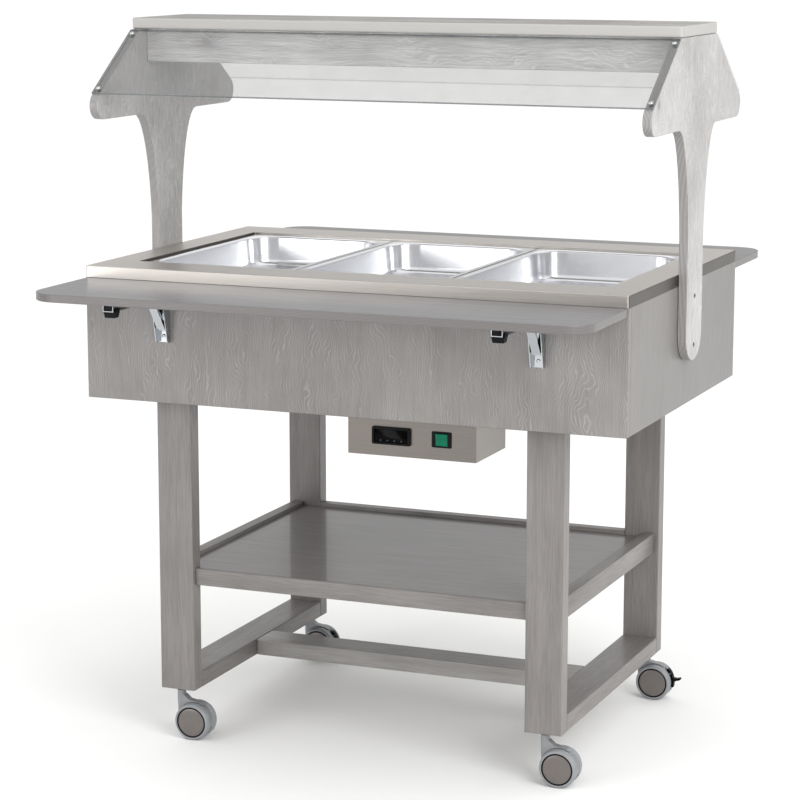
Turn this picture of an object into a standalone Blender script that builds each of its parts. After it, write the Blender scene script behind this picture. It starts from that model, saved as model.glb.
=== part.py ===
"""Steam table unit: a wheeled, heated three-pan buffet table with a canopy and fold-down tray shelves.

Metres, +Z up. The origin is on the floor, midway between the ends and between the two long sides.
-Y is the front, where the controls are. Every solid is one closed body, and neighbours that touch keep the
gap FIT between them.
"""

import math

import bmesh
import bpy
from mathutils import Matrix, Vector

# ---- driving dimensions (metres) ----
FIT = 0.0003  # gap between two pieces that touch
BOARD = 0.018  # plywood thickness: cabinet panels, supports and fascias
ARRIS = 0.002  # rounding of a board's edges

CABINET_LENGTH = 1.120
CABINET_DEPTH = 0.734
CABINET_BOTTOM = 0.698
DECK_TOP = 0.962
RIM_HEIGHT = 0.023

LEG_WIDTH = 0.075
LEG_THICKNESS = 0.034
LEG_SPREAD_X = 0.390  # centre of a leg from the middle
LEG_SPREAD_Y = 0.3115
FRAME_BOTTOM = 0.102  # underside of the legs, which is the casters' height

SHELF_TOP = 0.355
SHELF_EDGE = 0.034  # height of the shelf's front edge
SHELF_PANEL = 0.016
SHELF_LIP = 0.008  # how far the lips stand above the shelf
SHELF_LIP_WIDTH = 0.025
SHELF_SETBACK = 0.011  # front edge behind the front of the legs
SHELF_STRIP = 0.006  # thickness of the front edge strip

PAN_LENGTH = 0.530  # gastronorm 1/1 over the flange, front to back
PAN_WIDTH = 0.325
PAN_DEPTH = 0.065
PAN_PITCH = 0.3285
PAN_SHEET = 0.0015
PAN_FLANGE = 0.0125
PAN_CORNER = 0.055
WELL_LENGTH = 0.990  # opening in the deck
WELL_DEPTH = 0.535
WELL_STEP = 0.006  # the ledge under the pans' flanges is this far below the deck's top
LEDGE = 0.0125
TANK_BOTTOM = 0.770
SHEET = 0.0015
DECK_SHEET = 0.002

BOX_LEFT = -0.004
BOX_RIGHT = 0.259
BOX_FRONT = -0.349
BOX_DEPTH = 0.160
BOX_HEIGHT = 0.073
THERMOSTAT_X = 0.0865
THERMOSTAT_FACE = (0.079, 0.0345)
THERMOSTAT_BODY = (0.071, 0.029, 0.050)
ROCKER_X = 0.189
ROCKER_WIDTH = 0.0245
ROCKER_HALF = 0.0115
ROCKER_TILT = math.radians(5)
CONTROL_Z = 0.6645

CANOPY_TOP = 1.438
CANOPY_BOARD = 0.022
CANOPY_DEPTH = 0.244
FASCIA_HEIGHT = 0.067
FASCIA_FACE = 0.094  # front of a fascia from the middle
GUARD = 0.004
GUARD_INSET = 0.008  # top edge of a guard below the top of the slope
HEAD_TOP_HALF = 0.121  # half depth of a support at its top
HEAD_SLOPE_END = (0.295, 1.293)  # half depth and height where the slope ends
HEAD_UNDERSIDE = 1.243
HEAD_LOBE_RADIUS = 0.0276
NECK_START = 0.125  # half depth where the underside starts to curve into the stem
STEM_HALF = 0.0525
STEM_TOP = 1.030
FOOT_BOTTOM = 0.7885

TRAY_LENGTH = 1.116
TRAY_DEPTH = 0.235
TRAY_THICKNESS = 0.016
TRAY_GAP = 0.0035
TRAY_CORNER = 0.055
BRACKET_X = 0.388
PIVOT_OUT = 0.027  # tray pivot in front of the cabinet's face
ARM_WIDTH = 0.022
ARM_HEIGHT = 0.013
ARM_SHEET = 0.0015
ARM_END = 0.0135  # arm's end behind the tray's outer edge
ARM_BRIDGE = 0.009  # length of the strip that closes the arm's outer end from below
CHEEK_CLEARANCE = 0.0005
CHANNEL_BOTTOM = 0.8195
CHANNEL_FOOT_OUT = 0.012
STRUT_WIDTH = 0.017
STRUT_DEPTH = 0.006
STRUT_PIVOT_OUT = 0.0115
STRUT_PIVOT_Z = 0.848
STRUT_REACH = 0.033  # where the strut meets the arm, from the arm's pivot
CATCH_START = 0.176  # along the arm from its pivot
CATCH_LENGTH = 0.016
CATCH_DROP = 0.012

WHEEL_RADIUS = 0.0375
WHEEL_GAP = 0.006  # inner face of each wheel from the caster's middle
WHEEL_HALF = 0.0235
TRAIL = 0.031
STEM_RADIUS = 0.00875
HOOD_HALF = 0.0078  # half width of the arm above the wheels
HOOD_CLEARANCE = 0.0012
WEB_HALF = 0.005  # half thickness of the plate between the wheels
WEB_RADIUS = 0.0365
WEB_START = math.radians(-18)  # where the plate's full radius starts and ends, from the trailing side
WEB_END = math.radians(190)
WEB_LOW_RADIUS = 0.031
AXLE_RADIUS = 0.004
AXLE_CLEARANCE = 0.0004
BRAKE_START = math.radians(-14)  # the brake lever's arc
BRAKE_END = math.radians(46)
BRAKE_INNER = 0.0345
BRAKE_OUTER = 0.042
BRAKE_HALF = 0.0048
BRAKE_PIVOT = (0.038, math.radians(30))  # radius and angle
BRAKE_LUG_HALF = 0.002
BRAKED_WEB_START = math.radians(54)
BRAKED_WEB_LOW_RADIUS = 0.024

# ---- finishes: name, colour, metallic, roughness ----
FINISHES = {
    "wood": ((0.33, 0.31, 0.29), 0.0, 0.45),
    "light_wood": ((0.50, 0.49, 0.48), 0.0, 0.45),
    "steel": ((0.62, 0.60, 0.57), 1.0, 0.30),
    "polished_steel": ((0.80, 0.80, 0.80), 1.0, 0.12),
    "chrome": ((0.78, 0.78, 0.80), 1.0, 0.08),
    "clear": ((0.90, 0.92, 0.92), 0.0, 0.05),
    "black": ((0.015, 0.015, 0.016), 0.0, 0.40),
    "green": ((0.01, 0.32, 0.18), 0.0, 0.25),
    "caster_grey": ((0.42, 0.44, 0.47), 0.0, 0.40),
}


# ---- helpers ----
def clear_scene():
    """Removes every object of the open file."""
    for old in list(bpy.data.objects):
        bpy.data.objects.remove(old, do_unlink=True)


def finish(name):
    """Returns the named Principled material, making it at its first use."""
    if name in bpy.data.materials:
        return bpy.data.materials[name]
    colour, metallic, roughness = FINISHES[name]
    material = bpy.data.materials.new(name)
    material.use_nodes = True
    shader = material.node_tree.nodes["Principled BSDF"]
    shader.inputs["Base Color"].default_value = (*colour, 1.0)
    shader.inputs["Metallic"].default_value = metallic
    shader.inputs["Roughness"].default_value = roughness
    return material


def place(name, mesh, finish_name, parent=None):
    """Links a mesh as a named object with its own copy of a finish."""
    made = bpy.data.objects.new(name, mesh)
    bpy.context.collection.objects.link(made)
    material = finish(finish_name).copy()
    material.name = name
    if mesh.materials:
        made.material_slots[0].link = "OBJECT"
        made.material_slots[0].material = material
    else:
        mesh.materials.append(material)
    made.parent = parent
    return made


def mesh_from(bm, name):
    """Turns a bmesh into a mesh with its faces pointing out."""
    bmesh.ops.recalc_face_normals(bm, faces=bm.faces)
    mesh = bpy.data.meshes.new(name)
    bm.to_mesh(mesh)
    bm.free()
    return mesh


def loft(loops, name="loft", closed=False):
    """Skins a list of point loops, capping the ends, or joining last to first when closed."""
    bm = bmesh.new()
    rows = [[bm.verts.new(point) for point in loop] for loop in loops]
    count = len(rows[0])
    pairs = list(zip(rows, rows[1:]))
    if closed:
        pairs.append((rows[-1], rows[0]))
    else:
        bm.faces.new(rows[0])
        bm.faces.new(rows[-1])
    for near, far in pairs:
        for i in range(count):
            j = (i + 1) % count
            bm.faces.new((near[i], near[j], far[j], far[i]))
    return mesh_from(bm, name)


def lathe(profile, steps, name="lathe"):
    """Turns a closed (radius, height) profile about Z; points on the axis become poles."""
    bm = bmesh.new()
    rings = []
    for radius, height in profile:
        if radius < 1e-9:
            rings.append([bm.verts.new((0, 0, height))])
            continue
        turns = [2 * math.pi * k / steps for k in range(steps)]
        rings.append([bm.verts.new((radius * math.cos(a), radius * math.sin(a), height)) for a in turns])
    open_ends = len(rings[0]) == 1 and len(rings[-1]) == 1
    pairs = list(zip(rings, rings[1:]))
    if not open_ends:
        pairs.append((rings[-1], rings[0]))
    for near, far in pairs:
        for i in range(steps):
            j = (i + 1) % steps
            corners = [near[i % len(near)], near[j % len(near)], far[j % len(far)], far[i % len(far)]]
            bm.faces.new(list(dict.fromkeys(corners)))
    return mesh_from(bm, name)


def bevelled(mesh, width, segments=2):
    """Rounds every sharp edge of a mesh."""
    bm = bmesh.new()
    bm.from_mesh(mesh)
    sharp = [e for e in bm.edges if len(e.link_faces) == 2 and e.calc_face_angle(0) > math.radians(40)]
    bmesh.ops.bevel(bm, geom=sharp, offset=width, segments=segments, profile=0.5, affect="EDGES")
    bm.to_mesh(mesh)
    bm.free()
    return mesh


def box_mesh(low, high, bevel=0.0, segments=2):
    """A box between two corners, with rounded edges."""
    (x0, y0, z0), (x1, y1, z1) = low, high
    corners = [(x0, y0), (x1, y0), (x1, y1), (x0, y1)]
    mesh = loft([[(x, y, z) for x, y in corners] for z in (z0, z1)])
    return bevelled(mesh, bevel, segments) if bevel else mesh


def board(name, low, high, finish_name="wood", bevel=ARRIS, parent=None, segments=2):
    """A bevelled box as an object."""
    return place(name, box_mesh(low, high, bevel, segments), finish_name, parent)


def prism(outline, start, end, axis):
    """Extrudes a flat outline from start to end; axis X reads (y, z), Y reads (x, z), Z reads (x, y)."""
    def point(a, b, depth):
        return {"X": (depth, a, b), "Y": (a, depth, b), "Z": (a, b, depth)}[axis]

    return loft([[point(a, b, depth) for a, b in outline] for depth in (start, end)])


def arc(centre, radius, start, end, steps):
    """Points along an arc, both ends included; angles in radians."""
    angles = [start + (end - start) * k / steps for k in range(steps + 1)]
    return [(centre[0] + radius * math.cos(a), centre[1] + radius * math.sin(a)) for a in angles]


def rounded_rectangle(half_x, half_y, radius, steps, centre=(0.0, 0.0)):
    """Outline of a rectangle with round corners, anticlockwise."""
    points = []
    quarter = math.pi / 2
    for k, (sx, sy) in enumerate(((1, 1), (-1, 1), (-1, -1), (1, -1))):
        middle = (centre[0] + sx * (half_x - radius), centre[1] + sy * (half_y - radius))
        points += arc(middle, radius, k * quarter, (k + 1) * quarter, steps)
    return points


def combined(base, changes, name):
    """Applies Boolean changes, a list of (operation, mesh), to a mesh and returns the result as a new mesh."""
    body = bpy.data.objects.new(name, base)
    bpy.context.collection.objects.link(body)
    tools = []
    for operation, mesh in changes:
        tool = bpy.data.objects.new(name + "_tool", mesh)
        bpy.context.collection.objects.link(tool)
        tool.hide_render = True
        tool.display_type = "WIRE"
        modifier = body.modifiers.new(operation, "BOOLEAN")
        modifier.operation = operation
        modifier.solver = "EXACT"
        modifier.object = tool
        tools.append(tool)
    graph = bpy.context.evaluated_depsgraph_get()
    result = bpy.data.meshes.new_from_object(body.evaluated_get(graph))
    for used in (body, *tools):
        bpy.data.objects.remove(used, do_unlink=True)
    result.name = name
    return result


def smooth(mesh, degrees=35):
    """Shades a round mesh smooth, keeping its sharp edges."""
    mesh.shade_smooth()
    mesh.set_sharp_from_angle(angle=math.radians(degrees))
    return mesh


def pivot(name, location, rotation=(0.0, 0.0, 0.0)):
    """An empty on a joint's axis, which carries the pieces that move about it."""
    made = bpy.data.objects.new(name, None)
    made.location = location
    made.rotation_euler = rotation
    bpy.context.collection.objects.link(made)
    return made


# ---- frame ----
LEG_TOP = CABINET_BOTTOM - FIT
LEG_OUTER_X = LEG_SPREAD_X + LEG_WIDTH / 2
LEG_INNER_X = LEG_SPREAD_X - LEG_WIDTH / 2
LEG_OUTER_Y = LEG_SPREAD_Y + LEG_THICKNESS / 2
LEG_INNER_Y = LEG_SPREAD_Y - LEG_THICKNESS / 2
RAIL_TOP = FRAME_BOTTOM + LEG_THICKNESS


def build_frame():
    """Four legs, the two bottom rails and the stretcher between them."""
    for side_x, name_x in ((-1, "left"), (1, "right")):
        xs = sorted((side_x * LEG_INNER_X, side_x * LEG_OUTER_X))
        for side_y, name_y in ((-1, "front"), (1, "back")):
            ys = sorted((side_y * LEG_INNER_Y, side_y * LEG_OUTER_Y))
            board(f"leg_{name_y}_{name_x}", (xs[0], ys[0], FRAME_BOTTOM), (xs[1], ys[1], LEG_TOP))
        reach = LEG_INNER_Y - FIT
        board(f"rail_bottom_{name_x}", (xs[0], -reach, FRAME_BOTTOM), (xs[1], reach, RAIL_TOP))
    reach = LEG_INNER_X - FIT
    half = LEG_WIDTH / 2
    board("stretcher", (-reach, -half, FRAME_BOTTOM), (reach, half, RAIL_TOP))


# ---- shelf ----
def build_shelf():
    """The shelf panel on its glued frame, whose sides and back stand up as lips."""
    bottom = SHELF_TOP - SHELF_EDGE
    under = SHELF_TOP - SHELF_PANEL - FIT
    lip_top = SHELF_TOP + SHELF_LIP
    side = LEG_OUTER_X - 0.010
    between_legs_y = LEG_INNER_Y - FIT
    between_legs_x = LEG_INNER_X - FIT
    back = LEG_OUTER_Y - SHELF_SETBACK
    front = SHELF_SETBACK - LEG_OUTER_Y
    frame_front = front + SHELF_STRIP + FIT
    cross = 0.032
    base = box_mesh((-side, -between_legs_y, bottom), (SHELF_LIP_WIDTH - side, between_legs_y, lip_top))
    parts = [
        box_mesh((side - SHELF_LIP_WIDTH, -between_legs_y, bottom), (side, between_legs_y, lip_top)),
        box_mesh((-side, between_legs_y - cross, bottom), (side, between_legs_y, under)),
        box_mesh((-side, -between_legs_y, bottom), (side, cross - between_legs_y, under)),
        box_mesh((-between_legs_x, frame_front, bottom), (between_legs_x, frame_front + cross, under)),
        box_mesh((-between_legs_x, back - SHELF_LIP_WIDTH, bottom), (between_legs_x, back, lip_top)),
    ]
    place("shelf_frame", combined(base, [("UNION", part) for part in parts], "shelf_frame"), "wood")
    half = side - SHELF_LIP_WIDTH - FIT
    panel_back = back - SHELF_LIP_WIDTH - FIT
    outline = [
        (-between_legs_x, frame_front),
        (between_legs_x, frame_front),
        (between_legs_x, -between_legs_y),
        (half, -between_legs_y),
        (half, panel_back),
        (-half, panel_back),
        (-half, -between_legs_y),
        (-between_legs_x, -between_legs_y),
    ]
    place("shelf_panel", prism(outline, SHELF_TOP - SHELF_PANEL, SHELF_TOP, "Z"), "wood")
    strip_ends = ((-between_legs_x, front, bottom), (between_legs_x, front + SHELF_STRIP, SHELF_TOP))
    board("shelf_front_edge", *strip_ends, bevel=0.001, segments=1)


# ---- cabinet and well ----
HALF_LENGTH = CABINET_LENGTH / 2
HALF_DEPTH = CABINET_DEPTH / 2
PANEL_TOP = DECK_TOP - RIM_HEIGHT - FIT


def build_cabinet():
    """Front and back panels, the end panels between them, and the floor inside all four."""
    for side, name in ((-1, "front"), (1, "back")):
        ys = sorted((side * (HALF_DEPTH - BOARD), side * HALF_DEPTH))
        board(f"cabinet_{name}", (-HALF_LENGTH, ys[0], CABINET_BOTTOM), (HALF_LENGTH, ys[1], PANEL_TOP),
              bevel=0.001, segments=1)
    reach = HALF_DEPTH - BOARD - FIT
    for side, name in ((-1, "left"), (1, "right")):
        xs = sorted((side * (HALF_LENGTH - BOARD), side * HALF_LENGTH))
        board(f"cabinet_end_{name}", (xs[0], -reach, CABINET_BOTTOM), (xs[1], reach, PANEL_TOP),
              bevel=0.001, segments=1)
    half = HALF_LENGTH - BOARD - FIT
    board("cabinet_floor", (-half, -reach, CABINET_BOTTOM), (half, reach, CABINET_BOTTOM + BOARD), bevel=0.0)


def ring_loops(rows, steps=2):
    """Rounded rectangles from rows of (half x, half y, corner radius, height)."""
    return [[(x, y, z) for x, y in rounded_rectangle(hx, hy, r, steps)] for hx, hy, r, z in rows]


def build_deck():
    """The stainless deck: a folded rim, a flat border and a stepped ledge that the pans hang from."""
    rim_bottom = DECK_TOP - RIM_HEIGHT
    well_x, well_y = WELL_LENGTH / 2, WELL_DEPTH / 2
    ledge_z = DECK_TOP - WELL_STEP
    under_top = DECK_TOP - DECK_SHEET
    under_ledge = ledge_z - DECK_SHEET
    fold = 0.0015
    corner = 0.003
    rows = [
        (HALF_LENGTH, HALF_DEPTH, corner, rim_bottom),
        (HALF_LENGTH, HALF_DEPTH, corner, DECK_TOP - fold),
        (HALF_LENGTH - fold / 3, HALF_DEPTH - fold / 3, corner, DECK_TOP - fold / 3),
        (HALF_LENGTH - fold, HALF_DEPTH - fold, corner, DECK_TOP),
        (well_x, well_y, corner, DECK_TOP),
        (well_x, well_y, corner, ledge_z),
        (well_x - LEDGE, well_y - LEDGE, corner, ledge_z),
        (well_x - LEDGE, well_y - LEDGE, corner, under_ledge),
        (well_x + DECK_SHEET, well_y + DECK_SHEET, corner, under_ledge),
        (well_x + DECK_SHEET, well_y + DECK_SHEET, corner, under_top),
        (HALF_LENGTH - DECK_SHEET, HALF_DEPTH - DECK_SHEET, corner / 2, under_top),
        (HALF_LENGTH - DECK_SHEET, HALF_DEPTH - DECK_SHEET, corner / 2, rim_bottom),
    ]
    place("deck", loft(ring_loops(rows), closed=True), "steel")


def build_tank():
    """The water tank, welded under the ledge, open at the top."""
    inner_x = WELL_LENGTH / 2 - LEDGE + 0.001
    inner_y = WELL_DEPTH / 2 - LEDGE + 0.001
    top = DECK_TOP - WELL_STEP - DECK_SHEET - FIT
    flange = 0.008
    corner = 0.020
    rows = [
        (inner_x, inner_y, corner, TANK_BOTTOM + SHEET),
        (inner_x, inner_y, corner, top),
        (inner_x + flange, inner_y + flange, corner + flange, top),
        (inner_x + flange, inner_y + flange, corner + flange, top - SHEET),
        (inner_x + SHEET, inner_y + SHEET, corner + SHEET, top - SHEET),
        (inner_x + SHEET, inner_y + SHEET, corner + SHEET, TANK_BOTTOM),
    ]
    place("well_tank", loft(ring_loops(rows, steps=3)), "steel")


def build_heater():
    """A tubular element that snakes over the tank's floor, its ends at the right-hand wall."""
    pitch = 0.120
    run = 0.415
    radius = pitch / 2
    height = TANK_BOTTOM + 0.016
    wall = WELL_LENGTH / 2 - LEDGE - 0.0005
    rows = [pitch * (k - 1.5) for k in range(4)]
    points = [(wall, rows[0])]
    for k, y in enumerate(rows):
        side = 1 if k % 2 else -1
        points.append((-side * run if k else run, y))
        points.append((side * (run - radius), y))
        if k < len(rows) - 1:
            turn = -side * math.pi
            middle = (side * (run - radius), y + radius)
            points += arc(middle, radius, -math.pi / 2, -math.pi / 2 - turn, 8)[1:-1]
    points[-1] = (wall, rows[-1])
    curve = bpy.data.curves.new("heating_element", "CURVE")
    curve.dimensions = "3D"
    curve.bevel_depth = 0.004
    curve.bevel_resolution = 1
    curve.use_fill_caps = True
    spline = curve.splines.new("POLY")
    spline.points.add(len(points) - 1)
    for target, (x, y) in zip(spline.points, points):
        target.co = (x, y, height, 1.0)
    curve.materials.append(finish("steel"))
    made = bpy.data.objects.new("heating_element", curve)
    bpy.context.collection.objects.link(made)


def pan_mesh():
    """A gastronorm pan, its flange's underside at height 0."""
    half_x, half_y = PAN_WIDTH / 2, PAN_LENGTH / 2
    body_x, body_y = half_x - PAN_FLANGE, half_y - PAN_FLANGE - 0.001
    floor = PAN_SHEET - PAN_DEPTH
    fillet = 0.014
    draft = 0.004
    slope = 0.29  # how far along its quarter turn the fillet's middle row lies

    def row(inset, radius, height):
        return (body_x - inset, body_y - inset, radius, height)

    corner = PAN_CORNER
    rows = [
        row(PAN_SHEET + draft + fillet, corner - fillet, floor + PAN_SHEET),
        row(PAN_SHEET + draft + fillet * slope, corner - fillet * slope, floor + PAN_SHEET + fillet * slope),
        row(PAN_SHEET + draft, corner, floor + PAN_SHEET + fillet),
        row(PAN_SHEET, corner, PAN_SHEET - 0.003),
        row(-0.0015, corner + 0.003, PAN_SHEET),
        (half_x, half_y, 0.012, PAN_SHEET),
        (half_x, half_y, 0.012, 0.0),
        row(-0.0005, corner + 0.002, 0.0),
        row(0.0, corner, -0.003),
        row(draft, corner, floor + fillet),
        row(draft + fillet * slope, corner - fillet * slope, floor + fillet * slope),
        row(draft + fillet, corner - fillet, floor),
    ]
    return smooth(loft(ring_loops(rows, steps=4), "pan"))


def build_pans():
    """Three pans hang side by side in the deck's opening; each lifts out."""
    shared = pan_mesh()
    height = DECK_TOP - WELL_STEP + FIT
    for place_x, name in ((-1, "left"), (0, "middle"), (1, "right")):
        made = place(f"pan_{name}", shared, "polished_steel")
        made.location = (place_x * PAN_PITCH, 0.0, height)


# ---- controls ----
def build_controls():
    """The folded control box under the cabinet, with its thermostat, rocker switch and cable gland."""
    top = CABINET_BOTTOM - FIT
    back = BOX_FRONT + BOX_DEPTH
    shell = box_mesh((BOX_LEFT, BOX_FRONT, top - BOX_HEIGHT), (BOX_RIGHT, back, top))
    body_x, body_z, body_y = THERMOSTAT_BODY
    cut_gap = 0.0003
    rocker_x = ROCKER_WIDTH / 2 + cut_gap
    rocker_z = ROCKER_HALF + 0.0006
    gland_x, gland_radius = 0.050, 0.010
    through = 0.01
    gland_hole = lathe([(0, -through), (gland_radius, -through), (gland_radius, through), (0, through)], 16)
    gland_hole.transform(Matrix.Translation((gland_x, back, CONTROL_Z)) @ Matrix.Rotation(math.pi / 2, 4, "X"))
    cuts = [
        box_mesh((BOX_LEFT + SHEET, BOX_FRONT + SHEET, top - BOX_HEIGHT + SHEET),
                 (BOX_RIGHT - SHEET, back - SHEET, top + through)),
        box_mesh((THERMOSTAT_X - body_x / 2 - cut_gap, BOX_FRONT - through, CONTROL_Z - body_z / 2 - cut_gap),
                 (THERMOSTAT_X + body_x / 2 + cut_gap, BOX_FRONT + through, CONTROL_Z + body_z / 2 + cut_gap)),
        box_mesh((ROCKER_X - rocker_x, BOX_FRONT - through, CONTROL_Z - rocker_z),
                 (ROCKER_X + rocker_x, BOX_FRONT + through, CONTROL_Z + rocker_z)),
        gland_hole,
    ]
    place("control_box", combined(shell, [("DIFFERENCE", cut) for cut in cuts], "control_box"), "steel")

    face_x, face_z = THERMOSTAT_FACE
    face = rounded_rectangle(face_x / 2, face_z / 2, 0.003, 3, (THERMOSTAT_X, CONTROL_Z))
    front_plate = prism(face, BOX_FRONT - FIT - 0.0055, BOX_FRONT - FIT, "Y")
    rear = box_mesh((THERMOSTAT_X - body_x / 2, BOX_FRONT - 0.003, CONTROL_Z - body_z / 2),
                    (THERMOSTAT_X + body_x / 2, BOX_FRONT + body_y, CONTROL_Z + body_z / 2))
    place("thermostat", combined(front_plate, [("UNION", rear)], "thermostat"), "black")

    proud, hollow, rear = 0.0035, 0.0022, 0.008
    outline = [(rear, ROCKER_HALF), (-proud, ROCKER_HALF), (-hollow, 0.0), (-proud, -ROCKER_HALF),
               (rear, -ROCKER_HALF)]
    rocker = bevelled(prism(outline, -ROCKER_WIDTH / 2, ROCKER_WIDTH / 2, "X"), 0.0005, 1)
    made = place("rocker", rocker, "green")
    made.location = (ROCKER_X, BOX_FRONT, CONTROL_Z)
    made.rotation_euler = (ROCKER_TILT, 0.0, 0.0)

    bore, thread, nut, dome = 0.0045, gland_radius - 0.0003, 0.0125, 0.009
    profile = [(bore, -0.006), (thread, -0.006), (thread, FIT), (nut, FIT), (nut, 0.006), (dome, 0.008),
               (dome, 0.016), (bore + 0.001, 0.021), (bore, 0.021)]
    gland = smooth(lathe(profile, 12))
    made = place("cable_gland", gland, "black")
    made.location = (gland_x, back, CONTROL_Z)
    made.rotation_euler = (-math.pi / 2, 0.0, 0.0)


# ---- canopy ----
def bezier(p0, p1, p2, p3, steps):
    """Points along a cubic curve, both ends included."""
    points = []
    for k in range(steps + 1):
        t = k / steps
        u = 1 - t
        weights = (u ** 3, 3 * u * u * t, 3 * u * t * t, t ** 3)
        points.append(tuple(sum(w * p[i] for w, p in zip(weights, (p0, p1, p2, p3))) for i in (0, 1)))
    return points


SLOPE_TOP = (HEAD_TOP_HALF, CANOPY_TOP - CANOPY_BOARD - FIT)
SLOPE_RUN = Vector((HEAD_SLOPE_END[0] - SLOPE_TOP[0], HEAD_SLOPE_END[1] - SLOPE_TOP[1]))


def support_outline():
    """Outline of a support in (y, z): a head with two lobes, a stem and a round foot."""
    fall = -SLOPE_RUN[1] / SLOPE_RUN[0]
    slope_angle = math.atan(fall)
    corner_y = SLOPE_TOP[0] + (SLOPE_TOP[1] - HEAD_UNDERSIDE) / fall
    tangent = HEAD_LOBE_RADIUS / math.tan(slope_angle / 2)
    centre = (corner_y - tangent, HEAD_UNDERSIDE + HEAD_LOBE_RADIUS)
    lobe = arc(centre, HEAD_LOBE_RADIUS, math.pi / 2 - slope_angle, -math.pi / 2, 10)
    neck = bezier((NECK_START, HEAD_UNDERSIDE), (0.088, HEAD_UNDERSIDE), (0.060, 1.150), (STEM_HALF, STEM_TOP), 9)
    foot = arc((0.0, FOOT_BOTTOM + STEM_HALF), STEM_HALF, 0.0, -math.pi / 2, 7)
    half = [SLOPE_TOP] + lobe + neck + foot
    return half + [(-y, z) for y, z in reversed(half[:-1])]


def build_canopy():
    """Two shaped supports outside the cabinet's ends, the board over them, its fascias and the clear guards."""
    outline = support_outline()
    inner = HALF_LENGTH + FIT
    outer = inner + BOARD
    shape = smooth(bevelled(prism(outline, 0.0, BOARD, "X"), 0.001, 1), 30)
    for side, name in ((-1, "left"), (1, "right")):
        made = place(f"support_{name}", shape, "light_wood")
        made.location = (inner if side > 0 else -outer, 0.0, 0.0)
    bottom = CANOPY_TOP - CANOPY_BOARD
    half = CANOPY_DEPTH / 2
    board("canopy_board", (-outer, -half, bottom), (outer, half, CANOPY_TOP), "light_wood", bevel=0.003)
    fascia_top = bottom - FIT
    reach = inner - 2 * FIT
    for side, name in ((-1, "front"), (1, "back")):
        ys = sorted((side * (FASCIA_FACE - BOARD), side * FASCIA_FACE))
        board(f"fascia_{name}", (-reach, ys[0], fascia_top - FASCIA_HEIGHT), (reach, ys[1], fascia_top),
              "light_wood", bevel=0.001, segments=1)
        along = SLOPE_RUN.normalized()
        normal = Vector((-along[1], along[0]))
        top = Vector(SLOPE_TOP) + along * GUARD_INSET
        end = Vector(SLOPE_TOP) + along * SLOPE_RUN.length
        corners = [top + normal * FIT, end + normal * FIT, end + normal * (FIT + GUARD),
                   top + normal * (FIT + GUARD)]
        sheet = [(side * c[0], c[1]) for c in corners]
        place(f"guard_{name}", bevelled(prism(sheet, -outer, outer, "X"), 0.0006, 1), "clear")


# ---- tray shelves ----
TRAY_TOP = DECK_TOP - RIM_HEIGHT - 0.0005
TRAY_BOTTOM = TRAY_TOP - TRAY_THICKNESS
TRAY_INNER = HALF_DEPTH + TRAY_GAP
PIVOT_Y = HALF_DEPTH + PIVOT_OUT
PIVOT_Z = TRAY_BOTTOM - FIT - ARM_HEIGHT / 2
ARM_LENGTH = TRAY_INNER + TRAY_DEPTH - ARM_END - PIVOT_Y
STRUT_BACK = PIVOT_OUT - STRUT_PIVOT_OUT  # strut's pivot behind the tray's pivot
STRUT_DROP = PIVOT_Z - STRUT_PIVOT_Z
STRUT_LENGTH = math.hypot(STRUT_REACH + STRUT_BACK, STRUT_DROP)
STRUT_TILT = math.atan2(STRUT_REACH + STRUT_BACK, STRUT_DROP)
FOLDED_REACH = STRUT_DROP + math.sqrt(STRUT_LENGTH ** 2 - STRUT_BACK ** 2)
FOLDED_TILT = math.pi - math.atan2(STRUT_BACK, FOLDED_REACH - STRUT_DROP)


def channel_loop(half_out, half_in, web_far, web_near, open_end):
    """A U in (across, depth): the web lies between web_far and web_near, the flanges reach open_end."""
    return [(-half_out, web_far), (half_out, web_far), (half_out, open_end), (half_in, open_end),
            (half_in, web_near), (-half_in, web_near), (-half_in, open_end), (-half_out, open_end)]


def wall_channel_mesh():
    """The channel screwed to the cabinet; its cheeks taper down from the pivot. Depth 0 is the cabinet's face."""
    half_in = ARM_WIDTH / 2 + CHEEK_CLEARANCE
    half_out = half_in + ARM_SHEET
    nose = ARM_HEIGHT / 2 - 0.0005
    rows = [(CHANNEL_BOTTOM, CHANNEL_FOOT_OUT), (PIVOT_Z, PIVOT_OUT + nose)]
    rows += [(PIVOT_Z + nose * math.sin(a), PIVOT_OUT + nose * math.cos(a))
             for a in (math.radians(35), math.radians(65), math.radians(85))]
    loops = []
    for height, reach in rows:
        loop = channel_loop(half_out, half_in, -FIT, -FIT - ARM_SHEET, -reach)
        loops.append([(x, y, height) for x, y in loop])
    return loft(loops, "wall_channel")


def arm_mesh():
    """The arm under the tray: an inverted channel along -Y from its pivot at the origin."""
    loop = channel_loop(ARM_WIDTH / 2, ARM_WIDTH / 2 - ARM_SHEET, ARM_HEIGHT / 2, ARM_HEIGHT / 2 - ARM_SHEET,
                        -ARM_HEIGHT / 2)
    channel = loft([[(x, y, z) for x, z in loop] for y in (ARM_HEIGHT / 2, -ARM_LENGTH)], "arm")
    inside = ARM_WIDTH / 2 - ARM_SHEET / 2
    bridge = box_mesh((-inside, -ARM_LENGTH, -ARM_HEIGHT / 2), (inside, ARM_BRIDGE - ARM_LENGTH,
                                                              ARM_SHEET - ARM_HEIGHT / 2))
    return combined(channel, [("UNION", bridge)], "arm")


def strut_mesh():
    """The strut: a channel along +Z from its pivot at the origin, open towards the cabinet."""
    half = STRUT_DEPTH / 2
    loop = channel_loop(STRUT_WIDTH / 2, STRUT_WIDTH / 2 - ARM_SHEET, -half, ARM_SHEET - half, half)
    rows = [-half, STRUT_LENGTH + half * 0.5]
    return loft([[(x, y, z) for x, y in loop] for z in rows], "strut")


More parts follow.
